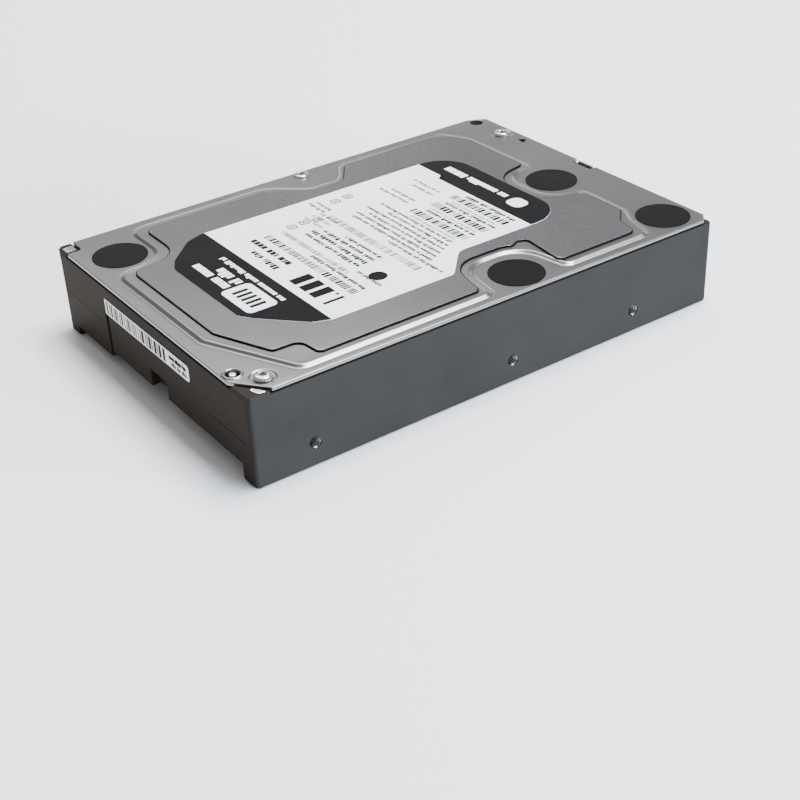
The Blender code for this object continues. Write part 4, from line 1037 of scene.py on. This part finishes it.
def board(finish):
    """The circuit board with its bite round the motor, the motor's flex tail and its foot."""
    body = tool(slab, rounded(BOARD, 12.0), BOARD_BOTTOM, BOARD_TOP, 0.05, 1)
    body.name = "board_panel"
    low, high = BOARD_BOTTOM - PAST, BOARD_TOP + PAST
    bites = [tool(rod, SPINDLE, BOARD_BITE_RADIUS, low, high, 96)]
    bites += [tool(rod, c, SCREW_HOLE_RADIUS, low, high, 28) for c in BOARD_SCREWS]
    combine(body, "DIFFERENCE", bites)
    carry(body, finish["board"], ["circuit_board"])
    board_tracks(finish)
    board_pads(finish)
    board_solder(finish)
    board_print(finish)
    tail = rounded([(58.5, 46.0, 1.0), (75.0, 45.4, 0.6), (75.0, 55.6, 0.6), (58.5, 54.6, 1.0)], 20.0)
    sizes = (tail, BOARD_BOTTOM - 0.16, BOARD_BOTTOM - 0.02, 0.001, 1)
    slab_piece("motor_flex_tail", [sizes], finish["flex"])
    profile = [(0.0, 1.75), (5.2, 1.75), (5.6, 1.9), (5.9, 2.1), (7.6, 2.1), (8.0, 2.25), (8.0, 2.38),
               (0.0, 2.38)]
    bm = bmesh.new()
    turned(bm, SPINDLE, profile, 64)
    piece("motor_foot", bm, finish["nickel"])


def plug(finish):
    """The data and power plug: shell, tongues, keys and contacts."""
    body = tool(block, (139.6, 11.0, 0.9), (146.8, 54.0, 6.6))
    body.name = "plug_shell"
    combine(body, "DIFFERENCE", [
        tool(block, (141.4, 12.2, 1.7), (148.0, 36.4, 5.8)),
        tool(block, (141.4, 38.4, 1.7), (148.0, 52.8, 5.8)),
        tool(block, (139.0, 11.6, 6.1), (141.0, 53.4, 7.0)),
    ])
    tongues = []
    for y0, z0, y1, z1 in ((14.0, 3.2, 34.8, 4.4), (40.0, 3.2, 51.0, 4.4), (34.0, 3.4, 35.2, 5.4),
                           (50.2, 3.4, 51.4, 5.4)):
        tongues.append(tool(block, (140.5, y0, z0), (146.0, y1, z1)))
    combine(body, "UNION", tongues)
    bevelled(body, 0.16, 2)
    carry(body, finish["plastic"], ["sata_connector"])
    pitch, wide = 1.27, 0.75
    bm = bmesh.new()
    for first, count in ((15.0, 15), (41.2, 7)):
        for k in range(count):
            y = first + pitch * k
            reach = 145.7 if k % 3 else 145.2
            slab(bm, [Vector(c[:2]) for c in panel(141.4, y, reach, y + wide)], 4.3, 4.48, 0.03, 1)
    piece("plug_contacts", bm, finish["gold"], weighted=False)


def jumpers(finish):
    """The jumper block with its two rows of pins."""
    pitch = 2.54
    body = tool(block, (140.4, 60.0, 2.4), (143.4, 71.0, 6.4))
    body.name = "jumper_block"
    grooves = []
    for low, high in ((1.0, 2.75), (6.05, 7.0)):
        for k in range(3):
            y = 62.5 + pitch * k
            grooves.append(tool(block, (139.0, y, low), (144.0, y + 0.4, high)))
    combine(body, "DIFFERENCE", grooves)
    bevelled(body, 0.12, 2)
    carry(body, finish["plastic"], ["jumper_header"])
    bm = bmesh.new()
    for k in range(4):
        for z in (3.0, 5.1):
            block(bm, (143.0, 61.2 + pitch * k, z), (146.4, 61.8 + pitch * k, z + 0.6))
    pins = scratch("jumper_pins", bm)
    bevelled(pins, 0.14, 2)
    carry(pins, finish["gold"])


# ---- stage

def stage():
    """A pale floor, soft lights and the camera; the strong low near light is kept out of reflections."""
    bpy.ops.mesh.primitive_plane_add(size=6.0, location=(0.0, 0.0, CAD_LOW.z - 0.0002))
    floor = bpy.context.object
    floor.name = "floor"
    pale = surface("pale_floor", (0.86, 0.86, 0.86), 0.6, 0.0, 0.01, 2.0, 0.03, 400.0, 0.02, 0.02)
    floor.data.materials.append(pale)
    world = bpy.data.worlds.new("studio")
    bpy.context.scene.world = world
    world.use_nodes = True
    world.node_tree.nodes["Background"].inputs["Color"].default_value = (0.98, 0.985, 1.0, 1.0)
    world.node_tree.nodes["Background"].inputs["Strength"].default_value = 0.42
    # name, place, size, watts, target, colour and whether reflections show it
    lights = [
        ("top_softbox", (0.5, -0.1, 1.4), (0.8, 0.8), 58.0, (0.5, -0.1, 0.0), WHITE_LIGHT, True),
        ("far_softbox", (0.35, 1.0, 1.3), (0.9, 1.2), 15.0, (0.2, 0.7, 0.0), WHITE_LIGHT, True),
        ("back_strip", (0.8, 0.95, 0.16), (1.8, 0.22), 3.6, (0.0, 0.0, 0.05), WHITE_LIGHT, True),
        ("near_softbox", (0.65, -1.3, 0.22), (1.2, 0.3), 108.0, (0.0, 0.0, 0.02), COOL_LIGHT, False),
        ("near_glint", (0.65, -1.3, 0.22), (1.2, 0.3), 14.0, (0.0, 0.0, 0.02), WHITE_LIGHT, True),
    ]
    for name, place, size, watts, target, colour, reflected in lights:
        lamp = bpy.data.lights.new(name, "AREA")
        lamp.shape = "RECTANGLE"
        lamp.size, lamp.size_y = size
        lamp.energy = watts
        lamp.color = colour
        thing = bpy.data.objects.new(name, lamp)
        thing.location = place
        thing.rotation_euler = (Vector(target) - Vector(place)).to_track_quat("-Z", "Y").to_euler()
        thing.visible_glossy = reflected
        bpy.context.scene.collection.objects.link(thing)
    camera()


def camera():
    """The viewing position and aim, in the drive's millimetres."""
    right = Vector((0.81109, -0.58361, -0.03923))
    ahead = Vector((0.47886, 0.70103, -0.52844))
    data = bpy.data.cameras.new("camera")
    data.sensor_width = 36.0
    data.lens = 65.47
    data.clip_start = 0.01
    thing = bpy.data.objects.new("camera", data)
    turn = Matrix((right, right.cross(ahead), -ahead)).transposed().to_4x4()
    thing.matrix_world = Matrix.Translation(here(-127.68, -247.54, 195.01)) @ turn
    bpy.context.scene.collection.objects.link(thing)
    bpy.context.scene.camera = thing


# ---- carried-over solids

# The finish of each solid of the frame, by its name without a number
WEAR = {
    "foam": "cover_gasket crash_stop insulating_pad",
    "felt": "breather_filter recirculation_filter desiccant_pouch",
    "bronze": "spindle_sleeve",
    "copper": "spindle_stator voice_coil",
    "hub": "spindle_hub platter_spacer disk_clamp",
    "platter": "platter",
    "screw": "clamp_screw cover_screw board_screw",
    "arm": "actuator_block",
    "steel": "pivot_shaft pivot_sleeve head_suspension",
    "nickel": "lower_yoke upper_yoke lower_magnet upper_magnet",
    "polymer": "load_ramp",
    "plastic": "actuator_latch flex_connector sata_connector jumper_header",
    "flex": "flex_cable",
    "chip": "controller_chip motor_driver_chip cache_chip",
    "board": "circuit_board",
}


def dress_nodes(finish):
    """Give the frame's solids their finishes."""
    kinds = {stem: kind for kind, stems in WEAR.items() for stem in stems.split()}
    for name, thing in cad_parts.items():
        stem = name.rstrip("0123456789").rstrip("_")
        if stem in kinds:
            thing.data.materials[0] = finish[kinds[stem]]


def main():
    """Dress the frame's solids, then build every piece and the stage."""
    finish = make_materials()
    dress_nodes(finish)
    cover = (cover_shell, damping_sheet, top_label, end_label, seals, screws)
    for build in (*cover, casting, threads, post_tops, board, plug, jumpers):
        build(finish)
    stage()


main()
